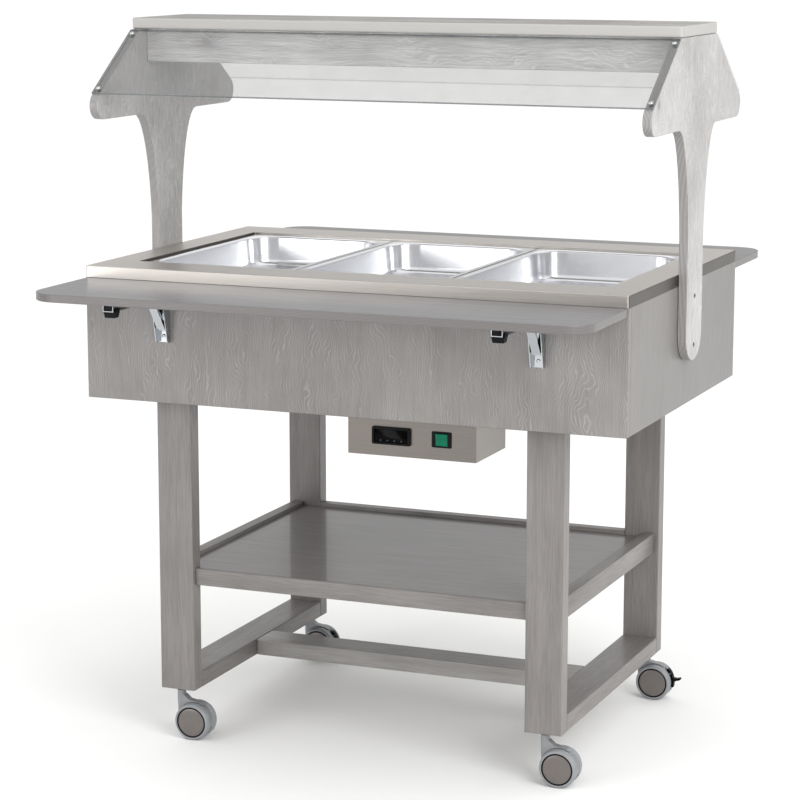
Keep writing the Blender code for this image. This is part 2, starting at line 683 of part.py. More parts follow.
def catch_mesh():
    """The release catch, which straddles the arm from below and slides along it."""
    clear = 0.0003
    inner = ARM_WIDTH / 2 + clear
    outer = inner + 0.0018
    foot = outer - 0.003
    top = -ARM_HEIGHT / 2 + 0.006
    seat = -ARM_HEIGHT / 2 - clear
    low = -ARM_HEIGHT / 2 - CATCH_DROP
    loop = [(-foot, low), (foot, low), (outer, seat), (outer, top), (inner, top), (inner, seat), (-inner, seat),
            (-inner, top), (-outer, top), (-outer, seat)]
    rows = (-CATCH_START, -CATCH_START - CATCH_LENGTH)
    return loft([[(x, y, z) for x, z in loop] for y in rows], "catch")


def tray_mesh():
    """A tray board in front of the pivot at the origin, with round outer corners."""
    half = TRAY_LENGTH / 2
    inner = PIVOT_OUT - TRAY_GAP
    outer = inner - TRAY_DEPTH
    outline = [(half, inner), (-half, inner)]
    outline += arc((-half + TRAY_CORNER, outer + TRAY_CORNER), TRAY_CORNER, math.pi, 1.5 * math.pi, 9)
    outline += arc((half - TRAY_CORNER, outer + TRAY_CORNER), TRAY_CORNER, -0.5 * math.pi, 0.0, 9)
    bottom = TRAY_BOTTOM - PIVOT_Z
    return smooth(bevelled(prism(outline, bottom, bottom + TRAY_THICKNESS, "Z"), 0.0015, 2), 40)


def build_trays():
    """A tray front and back; each folds down on two brackets. Both are built facing -Y and turned into place."""
    meshes = {"arm": arm_mesh(), "strut": strut_mesh(), "catch": catch_mesh(), "wall_channel": wall_channel_mesh()}
    tray = tray_mesh()
    for name, turn in (("front", 0.0), ("back", math.pi)):
        side = Matrix.Rotation(turn, 4, "Z")
        hinge = pivot(f"fold_{name}", side @ Vector((0.0, -PIVOT_Y, PIVOT_Z)), (0.0, 0.0, turn))
        place(f"tray_{name}", tray, "wood", hinge)
        for offset, end in ((-BRACKET_X, "left"), (BRACKET_X, "right")):
            local = offset if turn == 0.0 else -offset
            label = f"{name}_{end}"
            arm = place(f"arm_{label}", meshes["arm"], "chrome", hinge)
            arm.location = (local, 0.0, 0.0)
            catch = place(f"catch_{label}", meshes["catch"], "black", hinge)
            catch.location = (local, 0.0, 0.0)
            strut = place(f"strut_{label}", meshes["strut"], "chrome")
            strut.location = side @ Vector((local, -HALF_DEPTH - STRUT_PIVOT_OUT, STRUT_PIVOT_Z))
            strut.rotation_euler = (STRUT_TILT, 0.0, turn)
            channel = place(f"wall_channel_{label}", meshes["wall_channel"], "chrome")
            channel.location = side @ Vector((local, -HALF_DEPTH, 0.0))
            channel.rotation_euler = (0.0, 0.0, turn)


# ---- casters ----
def polar(radius, angle):
    """A point about the origin."""
    return (radius * math.cos(angle), radius * math.sin(angle))


def turned_disc(radius, low, high, steps, inner=0.0):
    """A disc about the Y axis between two depths, with an optional hole."""
    mesh = lathe([(inner, low), (radius, low), (radius, high), (inner, high)], steps)
    mesh.transform(Matrix.Rotation(-math.pi / 2, 4, "X"))
    return mesh


def fork_mesh(braked):
    """The caster's body: a stem, an arm and the plate between the wheels. The axle's axis is the origin."""
    start, low_radius = (BRAKED_WEB_START, BRAKED_WEB_LOW_RADIUS) if braked else (WEB_START, WEB_LOW_RADIUS)
    outline = arc((0.0, 0.0), WEB_RADIUS, start, WEB_END, 18)
    outline += arc((0.0, 0.0), low_radius, WEB_END, start + 2 * math.pi, 12)
    plate = prism(outline, -WEB_HALF, WEB_HALF, "Y")
    stem_top = FRAME_BOTTOM - WHEEL_RADIUS - FIT
    stem_low = 0.010
    neck = 0.040  # height where the stem starts to taper
    stem = lathe([(0, stem_low), (STEM_RADIUS * 0.88, stem_low), (STEM_RADIUS, neck), (STEM_RADIUS, stem_top),
                  (0, stem_top)], 18)
    stem.transform(Matrix.Translation((-TRAIL, 0.0, 0.0)))
    crown = WHEEL_RADIUS + HOOD_CLEARANCE
    slope = [(-TRAIL, 0.053), (-TRAIL + STEM_RADIUS, 0.051), (-0.012, 0.0425), (0.002, crown + 0.0012),
             (0.014, 0.0372), (0.020, 0.0325), (0.012, 0.020), (-TRAIL, 0.012)]
    room = turned_disc(crown, WEB_HALF - 0.0002, 0.03, 40)
    other_room = turned_disc(crown, -0.03, 0.0002 - WEB_HALF, 40)
    changes = [
        ("UNION", prism(slope, -HOOD_HALF, HOOD_HALF, "Y")),
        ("DIFFERENCE", room),
        ("DIFFERENCE", other_room),
        ("UNION", plate),
        ("DIFFERENCE", turned_disc(AXLE_RADIUS + AXLE_CLEARANCE, -0.03, 0.03, 16)),
    ]
    if braked:
        lug = box_mesh((low_radius - 0.003, -BRAKE_LUG_HALF, -0.003),
                       (BRAKE_PIVOT[0] + 0.0025, BRAKE_LUG_HALF, 0.003))
        lug.transform(Matrix.Rotation(-BRAKE_PIVOT[1], 4, "Y"))
        changes.append(("UNION", lug))
    return smooth(combined(stem, changes, "fork"))


def wheels_mesh():
    """Two wheels on their axle, turned about the Y axis through the origin."""
    inner, outer = WHEEL_GAP, WHEEL_HALF
    disc = outer - 0.0012
    side = [(AXLE_RADIUS, inner), (WHEEL_RADIUS - 0.003, inner), (WHEEL_RADIUS, inner + 0.003),
            (WHEEL_RADIUS, outer - 0.007), (WHEEL_RADIUS - 0.0008, outer - 0.0030),
            (WHEEL_RADIUS - 0.0025, outer - 0.0008), (WHEEL_RADIUS - 0.0052, outer),
            (WHEEL_RADIUS - 0.0056, disc), (0.0, disc)]
    profile = [(r, -y) for r, y in reversed(side)] + side
    mesh = lathe(profile, 24)
    mesh.transform(Matrix.Rotation(-math.pi / 2, 4, "X"))
    return smooth(mesh)


def brake_mesh():
    """The brake lever: an arc between the wheels with a pedal, slotted over the fork's lug at its hinge."""
    outline = arc((0.0, 0.0), BRAKE_INNER, BRAKE_START, BRAKE_END, 6)
    outline += arc((0.0, 0.0), BRAKE_OUTER, BRAKE_END, math.radians(15), 4)
    outline += [(0.0475, 0.0098), (0.0548, 0.0118), (0.0568, 0.0098), (0.0552, 0.0070), (0.0480, 0.0048)]
    outline += arc((0.0, 0.0), BRAKE_OUTER, math.radians(3), BRAKE_START, 2)
    lever = prism(outline, -BRAKE_HALF, BRAKE_HALF, "Y")
    radius, angle = BRAKE_PIVOT
    slot_half = BRAKE_LUG_HALF + 0.0004
    slot = box_mesh((0.0, -slot_half, -0.006), (0.06, slot_half, 0.006))
    slot.transform(Matrix.Rotation(-angle, 4, "Y"))
    mesh = combined(lever, [("DIFFERENCE", slot)], "brake_lever")
    x, z = polar(radius, angle)
    mesh.transform(Matrix.Translation((-x, 0.0, -z)))
    return mesh


def build_casters():
    """Four casters under the legs, all trailing towards +X; the back two have brakes."""
    forks = {False: fork_mesh(False), True: fork_mesh(True)}
    wheels, brake = wheels_mesh(), brake_mesh()
    for side_y, name_y in ((-1, "front"), (1, "back")):
        for side_x, name_x in ((-1, "left"), (1, "right")):
            label = f"{name_y}_{name_x}"
            stem = (side_x * LEG_SPREAD_X, side_y * LEG_SPREAD_Y, WHEEL_RADIUS)
            swivel = pivot(f"swivel_{label}", stem)
            braked = side_y > 0
            made = place(f"caster_fork_{label}", forks[braked], "caster_grey", swivel)
            made.location = (TRAIL, 0.0, 0.0)
            made = place(f"caster_wheels_{label}", wheels, "caster_grey", swivel)
            made.location = (TRAIL, 0.0, 0.0)
            if braked:
                x, z = polar(*BRAKE_PIVOT)
                made = place(f"brake_lever_{label}", brake, "black", swivel)
                made.location = (TRAIL + x, 0.0, z)


def main():
    """Builds the whole table."""
    clear_scene()
    build_frame()
    build_shelf()
    build_cabinet()
    build_deck()
    build_tank()
    build_heater()
    build_pans()
    build_controls()
    build_canopy()
    build_trays()
    build_casters()
    bpy.context.view_layer.update()


main()
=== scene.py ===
"""Steam table unit: its finishes, its small hardware, and the studio it stands in.

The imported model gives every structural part. This script dresses those parts and adds what they are finished with:
polished pans, wheels with their caps, screws, pins, bezels and lenses.
"""

import logging
import math
from dataclasses import dataclass, field, replace
from enum import Enum
from typing import Iterable, Sequence

import bmesh
import bpy
from mathutils import Matrix, Vector


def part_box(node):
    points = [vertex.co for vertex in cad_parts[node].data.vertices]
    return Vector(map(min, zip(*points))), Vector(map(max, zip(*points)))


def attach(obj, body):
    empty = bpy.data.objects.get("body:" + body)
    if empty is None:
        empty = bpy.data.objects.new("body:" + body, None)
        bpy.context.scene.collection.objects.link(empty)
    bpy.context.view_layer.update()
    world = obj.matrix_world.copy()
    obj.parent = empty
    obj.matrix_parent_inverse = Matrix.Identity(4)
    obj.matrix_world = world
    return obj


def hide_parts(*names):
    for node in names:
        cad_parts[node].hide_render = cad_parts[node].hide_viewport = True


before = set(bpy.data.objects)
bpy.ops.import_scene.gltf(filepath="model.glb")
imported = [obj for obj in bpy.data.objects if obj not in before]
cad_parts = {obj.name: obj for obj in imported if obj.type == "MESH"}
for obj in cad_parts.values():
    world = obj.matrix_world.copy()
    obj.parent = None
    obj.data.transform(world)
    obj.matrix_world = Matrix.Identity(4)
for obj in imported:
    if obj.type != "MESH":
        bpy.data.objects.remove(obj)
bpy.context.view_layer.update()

log = logging.getLogger("steam_table")

Point2 = tuple[float, float]
Point3 = tuple[float, float, float]
Colour = tuple[float, float, float, float]

MM = 0.001
ENDS = ("front", "back")
SIDES = ("left", "right")
CORNERS = tuple(f"{end}_{side}" for end in ENDS for side in SIDES)
QUARTER = math.pi / 2


class Axis(Enum):
    """An axis of the table: X runs along its length, Y from front to back, Z up."""

    X = 0
    Y = 1
    Z = 2


class Figure(Enum):
    """How the veneer or board was cut from the log."""

    STRAIGHT = "quarter-sawn, fine parallel grain"
    ROTARY = "peeled, with swirling contour lines"


# ---- colours and nodes ----
def linear(code: str) -> Colour:
    """Turns an sRGB hex colour into linear light.

    Args:
        code: The colour as "#rrggbb".

    Returns:
        Red, green, blue and an alpha of 1.
    """
    shares = [int(code[i:i + 2], 16) / 255 for i in (1, 3, 5)]
    red, green, blue = (s / 12.92 if s <= 0.04045 else ((s + 0.055) / 1.055) ** 2.4 for s in shares)
    return (red, green, blue, 1.0)


def per_metre(size_mm: float) -> float:
    """Returns how many features of a size in millimetres fit in a metre."""
    return 1000.0 / size_mm


def add(tree: bpy.types.NodeTree, kind: str, inputs: dict | None = None, **settings: object) -> bpy.types.Node:
    """Adds a shader node with its settings, values and links.

    Args:
        tree: The material's node tree.
        kind: The node's type without "ShaderNode".
        inputs: Socket name or number to a value, or to another node's output to link from.
        settings: Properties of the node itself.

    Returns:
        The new node.
    """
    made = tree.nodes.new("ShaderNode" + kind)
    for key, value in settings.items():
        setattr(made, key, value)
    for key, value in (inputs or {}).items():
        if isinstance(value, bpy.types.NodeSocket):
            tree.links.new(value, made.inputs[key])
        else:
            made.inputs[key].default_value = value
    return made


def fill(shader: bpy.types.Node, tree: bpy.types.NodeTree, values: dict) -> None:
    """Sets or links sockets of a node that is already there.

    Args:
        shader: The node.
        tree: The node tree that it is in.
        values: Socket name to a value or to an output to link from.
    """
    for key, value in values.items():
        if isinstance(value, bpy.types.NodeSocket):
            tree.links.new(value, shader.inputs[key])
        else:
            shader.inputs[key].default_value = value


# ---- finishes ----
@dataclass(frozen=True)
class Finish:
    """A finish: what a surface is made of and how it was made."""

    name: str

    def material(self) -> bpy.types.Material:
        """Returns the finish's material, making it at the first use."""
        found = bpy.data.materials.get(self.name)
        if found:
            return found
        made = bpy.data.materials.new(self.name)
        made.use_nodes = True
        self.paint(made.node_tree, made.node_tree.nodes["Principled BSDF"])
        return made

    def paint(self, tree: bpy.types.NodeTree, shader: bpy.types.Node) -> None:
        """Fills the material's node tree; each finish has its own way."""
        raise NotImplementedError


@dataclass(frozen=True)
class StainedWood(Finish):
    """Birch under a grey water stain and a satin lacquer.

    The stain sinks into the fibres, so the eye sees fine darker streaks along the grain, slow changes of tone from
    board to board, and a soft sheen with reflections that spread along the surface.
    """

    grain: Axis = Axis.X
    figure: Figure = Figure.STRAIGHT
    light: str = "#85817F"
    dark: str = "#625E5C"
    edge: str = "#5A5552"
    edge_normal: Axis | None = None  # the board's thickness runs this way: the other faces show its plies
    roughness: float = 0.42
    coat: float = 0.25
    coat_roughness: float = 0.22
    sheen_level: float = 0.5  # lower where the lacquer is thin
    seed: float = 0.0
    fibre_mm: float = 2.2  # real fibres are finer: drawn this wide so that they show
    fibre_length_mm: float = 70.0
    fibre_tone: float = 0.30
    line_mm: float = 5.6  # one growth line of the peeled veneer to the next
    swirl_mm: float = 120.0
    swirl: float = 17.0  # how many lines the swirls push a line aside
    line_strength: float = 0.40
    relief_mm: float = 0.12
    knots: tuple[Point3, ...] = ()
    knot_mm: float = 7.0
    banding: float = 0.15
    band_mm: Point2 = (16.0, 420.0)  # how wide and how long a band of even growth is
    drift_mm: float = 260.0  # over this distance the grain wanders by up to a centimetre
    wander: Point3 = (0.02, 0.02, 0.02)
    cloud_mm: float = 190.0  # patches where the stain took differently
    cloud_tone: float = 0.18
    patch_mm: float = 55.0  # growth lines fade in and out over this distance
    ply_mm: float = 2.6

    def stretch(self, across_mm: float, along_mm: float) -> Point3:
        """Returns the scale that makes features this wide across the grain and this long along it."""
        scale = [per_metre(across_mm)] * 3
        scale[self.grain.value] = per_metre(along_mm)
        return tuple(scale)

    def paint(self, tree: bpy.types.NodeTree, shader: bpy.types.Node) -> None:
        """Builds the grain, the figure and the lacquer's sheen."""
        place = add(tree, "TexCoord")
        log_part = (self.seed, self.seed * 1.7, self.seed * 0.6)
        shifted = add(tree, "VectorMath", {0: place.outputs["Object"], 1: log_part}, operation="ADD").outputs[0]
        drift = add(tree, "TexNoise", {"Vector": shifted, "Scale": per_metre(self.drift_mm), "Detail": 1.0})
        push = add(tree, "VectorMath", {0: drift.outputs["Color"], 1: (0.5, 0.5, 0.5)}, operation="SUBTRACT")
        bent = add(tree, "VectorMath", {0: push.outputs[0], 1: self.wander, 2: shifted},
                   operation="MULTIPLY_ADD").outputs[0]
        fibre_place = add(tree, "VectorMath", {0: bent, 1: self.stretch(self.fibre_mm, self.fibre_length_mm)},
                          operation="MULTIPLY").outputs[0]
        fibres = add(tree, "TexNoise", {"Vector": fibre_place, "Scale": 1.0, "Detail": 3.0, "Roughness": 0.6})
        band_place = add(tree, "VectorMath", {0: bent, 1: self.stretch(*self.band_mm)},
                         operation="MULTIPLY").outputs[0]
        bands = add(tree, "TexNoise", {"Vector": band_place, "Scale": 1.0, "Detail": 2.0, "Roughness": 0.5})
        cloud = add(tree, "TexNoise", {"Vector": shifted, "Scale": per_metre(self.cloud_mm), "Detail": 2.0})
        tone = add(tree, "MapRange", {"Value": fibres.outputs["Fac"], "From Min": 0.25, "From Max": 0.75,
                                      "To Min": -self.fibre_tone, "To Max": self.fibre_tone}).outputs[0]
        slow = add(tree, "MapRange", {"Value": bands.outputs["Fac"], "From Min": 0.3, "From Max": 0.7,
                                      "To Min": 0.5 - self.banding,
                                      "To Max": 0.5 + self.banding}).outputs[0]
        wide = add(tree, "MapRange", {"Value": cloud.outputs["Fac"], "From Min": 0.3, "From Max": 0.7,
                                      "To Min": -self.cloud_tone, "To Max": self.cloud_tone}).outputs[0]
        level = add(tree, "Math", {0: tone, 1: slow}, operation="ADD").outputs[0]
        level = add(tree, "Math", {0: level, 1: wide}, operation="ADD").outputs[0]
        relief = fibres.outputs["Fac"]
        if self.figure is Figure.ROTARY:
            line = self.contour(tree, bent, place.outputs["Object"])
            level = add(tree, "Math", {0: line, 1: self.line_strength, 2: level},
                        operation="MULTIPLY_ADD").outputs[0]
            relief = add(tree, "Math", {0: line, 1: 0.5, 2: relief}, operation="MULTIPLY_ADD").outputs[0]
        for knot in self.knots:
            eye = self.eye(tree, place.outputs["Object"], knot)
            level = add(tree, "Math", {0: eye, 1: -0.9, 2: level}, operation="MULTIPLY_ADD").outputs[0]
        colour = add(tree, "Mix", {0: level, 6: linear(self.dark), 7: linear(self.light)}, data_type="RGBA",
                     clamp_factor=True).outputs[2]
        if self.edge_normal is not None:
            colour = self.plies(tree, place, colour)
        rough = add(tree, "MapRange", {"Value": relief, "From Min": 0.2, "From Max": 0.8,
                                       "To Min": self.roughness + 0.07, "To Max": self.roughness - 0.05}).outputs[0]
        bump = add(tree, "Bump", {"Height": relief, "Strength": 0.3, "Distance": self.relief_mm * MM})
        fill(shader, tree, {"Base Color": colour, "Roughness": rough, "Normal": bump.outputs[0], "IOR": 1.48,
                            "Specular IOR Level": self.sheen_level,
                            "Coat Weight": self.coat, "Coat Roughness": self.coat_roughness, "Coat IOR": 1.5})

    def away(self, tree: bpy.types.NodeTree, place: bpy.types.NodeSocket, knot: Point3) -> bpy.types.NodeSocket:
        """Gives the distance from a knot, in knot sizes, drawn out along the grain.

        Args:
            tree: The material's node tree.
            place: Where on the board each point is.
            knot: The knot's middle.

        Returns:
            The distance.
        """
        off = add(tree, "VectorMath", {0: place, 1: knot}, operation="SUBTRACT").outputs[0]
        drawn = add(tree, "VectorMath", {0: off, 1: self.stretch(self.knot_mm, self.knot_mm * 1.7)},
                    operation="MULTIPLY").outputs[0]
        return add(tree, "VectorMath", {0: drawn}, operation="LENGTH").outputs["Value"]

    def eye(self, tree: bpy.types.NodeTree, place: bpy.types.NodeSocket, knot: Point3) -> bpy.types.NodeSocket:
        """Draws a knot: a dark core with a fainter halo. Takes the same as `away` and returns its strength."""
        reach = self.away(tree, place, knot)
        core = add(tree, "MapRange", {"Value": reach, "From Min": 0.25, "From Max": 1.0, "To Min": 0.8,
                                      "To Max": 0.0}, interpolation_type="SMOOTHSTEP").outputs[0]
        halo = add(tree, "MapRange", {"Value": reach, "From Min": 0.8, "From Max": 3.2, "To Min": 0.22,
                                      "To Max": 0.0}).outputs[0]
        return add(tree, "Math", {0: core, 1: halo}, operation="ADD").outputs[0]

    def contour(self, tree: bpy.types.NodeTree, bent: bpy.types.NodeSocket,
                place: bpy.types.NodeSocket) -> bpy.types.NodeSocket:
        """Draws the peeled veneer's growth lines, which run along the grain and swirl round knots.

        Args:
            tree: The material's node tree.
            bent: Where on the board each point is, shifted to this board's own part of the log.
            place: Where on the table each point is.

        Returns:
            A value that is highest on a line and 0 between lines.
        """
        field_place = add(tree, "VectorMath", {0: bent, 1: self.stretch(self.swirl_mm * 0.7, self.swirl_mm)},
                          operation="MULTIPLY").outputs[0]
        swell = add(tree, "TexNoise", {"Vector": field_place, "Scale": 1.0, "Detail": 3.0, "Roughness": 0.5})
        across = Axis.X.value if self.grain is not Axis.X else Axis.Z.value
        along = add(tree, "SeparateXYZ", {0: bent}).outputs[across]
        lines = add(tree, "Math", {0: along, 1: per_metre(self.line_mm)}, operation="MULTIPLY").outputs[0]
        lines = add(tree, "Math", {0: swell.outputs["Fac"], 1: self.swirl, 2: lines},
                    operation="MULTIPLY_ADD").outputs[0]
        for knot in self.knots:
            near = add(tree, "Math", {0: self.away(tree, place, knot), 1: 1.0}, operation="ADD").outputs[0]
            rings = add(tree, "Math", {0: self.swirl * 0.6, 1: near}, operation="DIVIDE").outputs[0]
            lines = add(tree, "Math", {0: lines, 1: rings}, operation="ADD").outputs[0]
        wave = add(tree, "Math", {0: lines, 1: 0.5}, operation="PINGPONG").outputs[0]
        line = add(tree, "MapRange", {"Value": wave, "From Min": 0.0, "From Max": 0.22, "To Min": 1.0, "To Max": 0.0},
                   interpolation_type="SMOOTHSTEP").outputs[0]
        patchy = add(tree, "TexNoise", {"Vector": bent, "Scale": per_metre(self.patch_mm),
                                        "Detail": 3.0}).outputs["Fac"]
        strength = add(tree, "MapRange", {"Value": patchy, "From Min": 0.35, "From Max": 0.65, "To Min": 0.10,
                                          "To Max": 1.0}).outputs[0]
        return add(tree, "Math", {0: line, 1: strength}, operation="MULTIPLY").outputs[0]

    def plies(self, tree: bpy.types.NodeTree, place: bpy.types.Node,
              face: bpy.types.NodeSocket) -> bpy.types.NodeSocket:
        """Shows the plies on the faces that cut across the board.

        Args:
            tree: The material's node tree.
            place: The texture coordinate node.
            face: The colour of the board's faces.

        Returns:
            The colour with the plies on the edges.
        """
        number = self.edge_normal.value
        normal = add(tree, "SeparateXYZ", {0: place.outputs["Normal"]}).outputs[number]
        facing = add(tree, "Math", {0: normal}, operation="ABSOLUTE").outputs[0]
        cut = add(tree, "MapRange", {"Value": facing, "From Min": 0.5, "From Max": 0.8, "To Min": 1.0, "To Max": 0.0})
        depth = add(tree, "SeparateXYZ", {0: place.outputs["Object"]}).outputs[number]
        steps = add(tree, "Math", {0: depth, 1: per_metre(self.ply_mm)}, operation="MULTIPLY").outputs[0]
        wave = add(tree, "Math", {0: steps, 1: 0.5}, operation="PINGPONG").outputs[0]
        sheet = add(tree, "MapRange", {"Value": wave, "From Min": 0.05, "From Max": 0.4, "To Min": 0.0,
                                       "To Max": 0.75}).outputs[0]
        ends = add(tree, "Mix", {0: sheet, 6: linear(self.edge), 7: linear(self.light)}, data_type="RGBA").outputs[2]
        return add(tree, "Mix", {0: cut.outputs[0], 6: face, 7: ends}, data_type="RGBA").outputs[2]


@dataclass(frozen=True)
class BrushedSteel(Finish):
    """Stainless sheet, brushed with a belt along one axis.

    The belt leaves fine parallel scratches, so highlights smear across them and the tone flickers along them.
    """

    brush: Axis = Axis.X
    tone: str = "#CBC6C1"
    dark: str = "#B9B4AE"
    roughness: float = 0.30
    scratch_mm: float = 0.9  # real scratches are a tenth of this: drawn wider so that they show
    scratch_length_mm: float = 140.0
    scratch_depth_mm: float = 0.05
    uneven: float = 0.06  # how far the scratches move the roughness either way
    smudge_mm: float = 110.0
    wear: float = 0.06
    ends: float = 0.0  # share of the painted side tone on the faces that the brush strokes run into: painted shade on the deck's ends, painted light on the box's sides
    # dark by default, which is painted shade; the box's lighter tone is painted light
    painted_side_tone: str = "#3A3430"

    def paint(self, tree: bpy.types.NodeTree, shader: bpy.types.Node) -> None:
        """Builds the scratches, the slow smudges of handling and the painted light and shade on the faces that the
        strokes run into.
        """
        coordinates = add(tree, "TexCoord")
        place = coordinates.outputs["Object"]
        scale = [per_metre(self.scratch_mm)] * 3
        scale[self.brush.value] = per_metre(self.scratch_length_mm)
        drawn = add(tree, "VectorMath", {0: place, 1: tuple(scale)}, operation="MULTIPLY").outputs[0]
        lines = add(tree, "TexNoise", {"Vector": drawn, "Scale": 1.0, "Detail": 4.0,
                                       "Roughness": 0.65}).outputs["Fac"]
        smudge = add(tree, "TexNoise", {"Vector": place, "Scale": per_metre(self.smudge_mm),
                                        "Detail": 2.0}).outputs["Fac"]
        level = add(tree, "MapRange", {"Value": lines, "From Min": 0.3, "From Max": 0.7, "To Min": 0.0,
                                       "To Max": 1.0}).outputs[0]
        colour = add(tree, "Mix", {0: level, 6: linear(self.dark), 7: linear(self.tone)}, data_type="RGBA",
                     clamp_factor=True).outputs[2]
        # painted light and shade: the faces that the strokes run into take a flat tone, darker on the deck's ends and
        # lighter on the box's sides
        if self.ends:
            normal = add(tree, "SeparateXYZ", {0: coordinates.outputs["Normal"]}).outputs[self.brush.value]
            across = add(tree, "Math", {0: normal}, operation="ABSOLUTE").outputs[0]
            share = add(tree, "MapRange", {"Value": across, "From Min": 0.6, "From Max": 0.9, "To Min": 0.0,
                                           "To Max": self.ends}).outputs[0]
            colour = add(tree, "Mix", {0: share, 6: colour, 7: linear(self.painted_side_tone)},
                         data_type="RGBA").outputs[2]
        brushed = add(tree, "MapRange", {"Value": lines, "From Min": 0.3, "From Max": 0.7,
                                         "To Min": self.roughness - self.uneven,
                                         "To Max": self.roughness + self.uneven}).outputs[0]
        handled = add(tree, "Math", {0: smudge, 1: self.wear, 2: brushed}, operation="MULTIPLY_ADD").outputs[0]
        bump = add(tree, "Bump", {"Height": lines, "Strength": 0.10, "Distance": self.scratch_depth_mm * MM})
        fill(shader, tree, {"Base Color": colour, "Metallic": 1.0, "Roughness": handled, "Normal": bump.outputs[0]})


@dataclass(frozen=True)
class PolishedMetal(Finish):
    """Metal that was pressed or plated and then polished.

    It mirrors the room, broken only by a faint haze of wipe marks and the press's shallow waves.
    """

    tone: str = "#DADCDE"
    wiped: str = "#C4C4C5"
    wiped_share: float = 0.12
    roughness: float = 0.10
    haze: float = 0.08
    wipe_mm: float = 9.0
    wave_mm: float = 45.0
    wave_depth_mm: float = 0.05

    def paint(self, tree: bpy.types.NodeTree, shader: bpy.types.Node) -> None:
        """Builds the haze and the waves."""
        place = add(tree, "TexCoord").outputs["Object"]
        waves = add(tree, "TexNoise", {"Vector": place, "Scale": per_metre(self.wave_mm),
                                       "Detail": 1.0}).outputs["Fac"]
        wipes = add(tree, "TexNoise", {"Vector": place, "Scale": per_metre(self.wipe_mm), "Detail": 3.0,
                                       "Distortion": 1.2})
        rough = add(tree, "MapRange", {"Value": wipes.outputs["Fac"], "From Min": 0.35, "From Max": 0.75,
                                       "To Min": self.roughness, "To Max": self.roughness + self.haze}).outputs[0]
        shade = add(tree, "Mix", {0: wipes.outputs["Fac"], 6: linear(self.tone), 7: linear(self.wiped)},
                    data_type="RGBA").outputs[2]
        colour = add(tree, "Mix", {0: self.wiped_share, 6: linear(self.tone), 7: shade},
                     data_type="RGBA").outputs[2]
        bump = add(tree, "Bump", {"Height": waves, "Strength": 0.35, "Distance": self.wave_depth_mm * MM})
        fill(shader, tree, {"Base Color": colour, "Metallic": 1.0, "Roughness": rough, "Normal": bump.outputs[0]})


@dataclass(frozen=True)
class MouldedPlastic(Finish):
    """Plastic from a spark-eroded mould.

    The mould leaves a fine pebbled grain, which breaks highlights up and makes the edges look soft.
    """

    tone: str = "#040405"
    worn: str = "#0B0B0D"
    roughness: float = 0.42
    metallic: float = 0.0
    grain_mm: float = 0.9
    grain_depth_mm: float = 0.04
    patch_mm: float = 22.0
    coat: float = 0.0
    coat_roughness: float = 0.08
    ior: float = 1.50
    gloss: float = 0.14  # a sooty black mirrors less than clear plastic would

    def paint(self, tree: bpy.types.NodeTree, shader: bpy.types.Node) -> None:
        """Builds the grain and the slight unevenness of the colour."""
        place = add(tree, "TexCoord").outputs["Object"]
        grain = add(tree, "TexNoise", {"Vector": place, "Scale": per_metre(self.grain_mm),
                                       "Detail": 2.0}).outputs["Fac"]
        patch = add(tree, "TexNoise", {"Vector": place, "Scale": per_metre(self.patch_mm),
                                       "Detail": 3.0}).outputs["Fac"]
        level = add(tree, "MapRange", {"Value": patch, "From Min": 0.4, "From Max": 0.8, "To Min": 0.0,
                                       "To Max": 0.5}).outputs[0]
        colour = add(tree, "Mix", {0: level, 6: linear(self.tone), 7: linear(self.worn)}, data_type="RGBA",
                     clamp_factor=True).outputs[2]
        rough = add(tree, "MapRange", {"Value": grain, "From Min": 0.3, "From Max": 0.7,
                                       "To Min": self.roughness - 0.05, "To Max": self.roughness + 0.06}).outputs[0]
        bump = add(tree, "Bump", {"Height": grain, "Strength": 0.25, "Distance": self.grain_depth_mm * MM})
        fill(shader, tree, {"Base Color": colour, "Metallic": self.metallic, "Roughness": rough, "IOR": self.ior,
                            "Normal": bump.outputs[0], "Specular IOR Level": self.gloss,
                            "Coat Weight": self.coat, "Coat Roughness": self.coat_roughness})


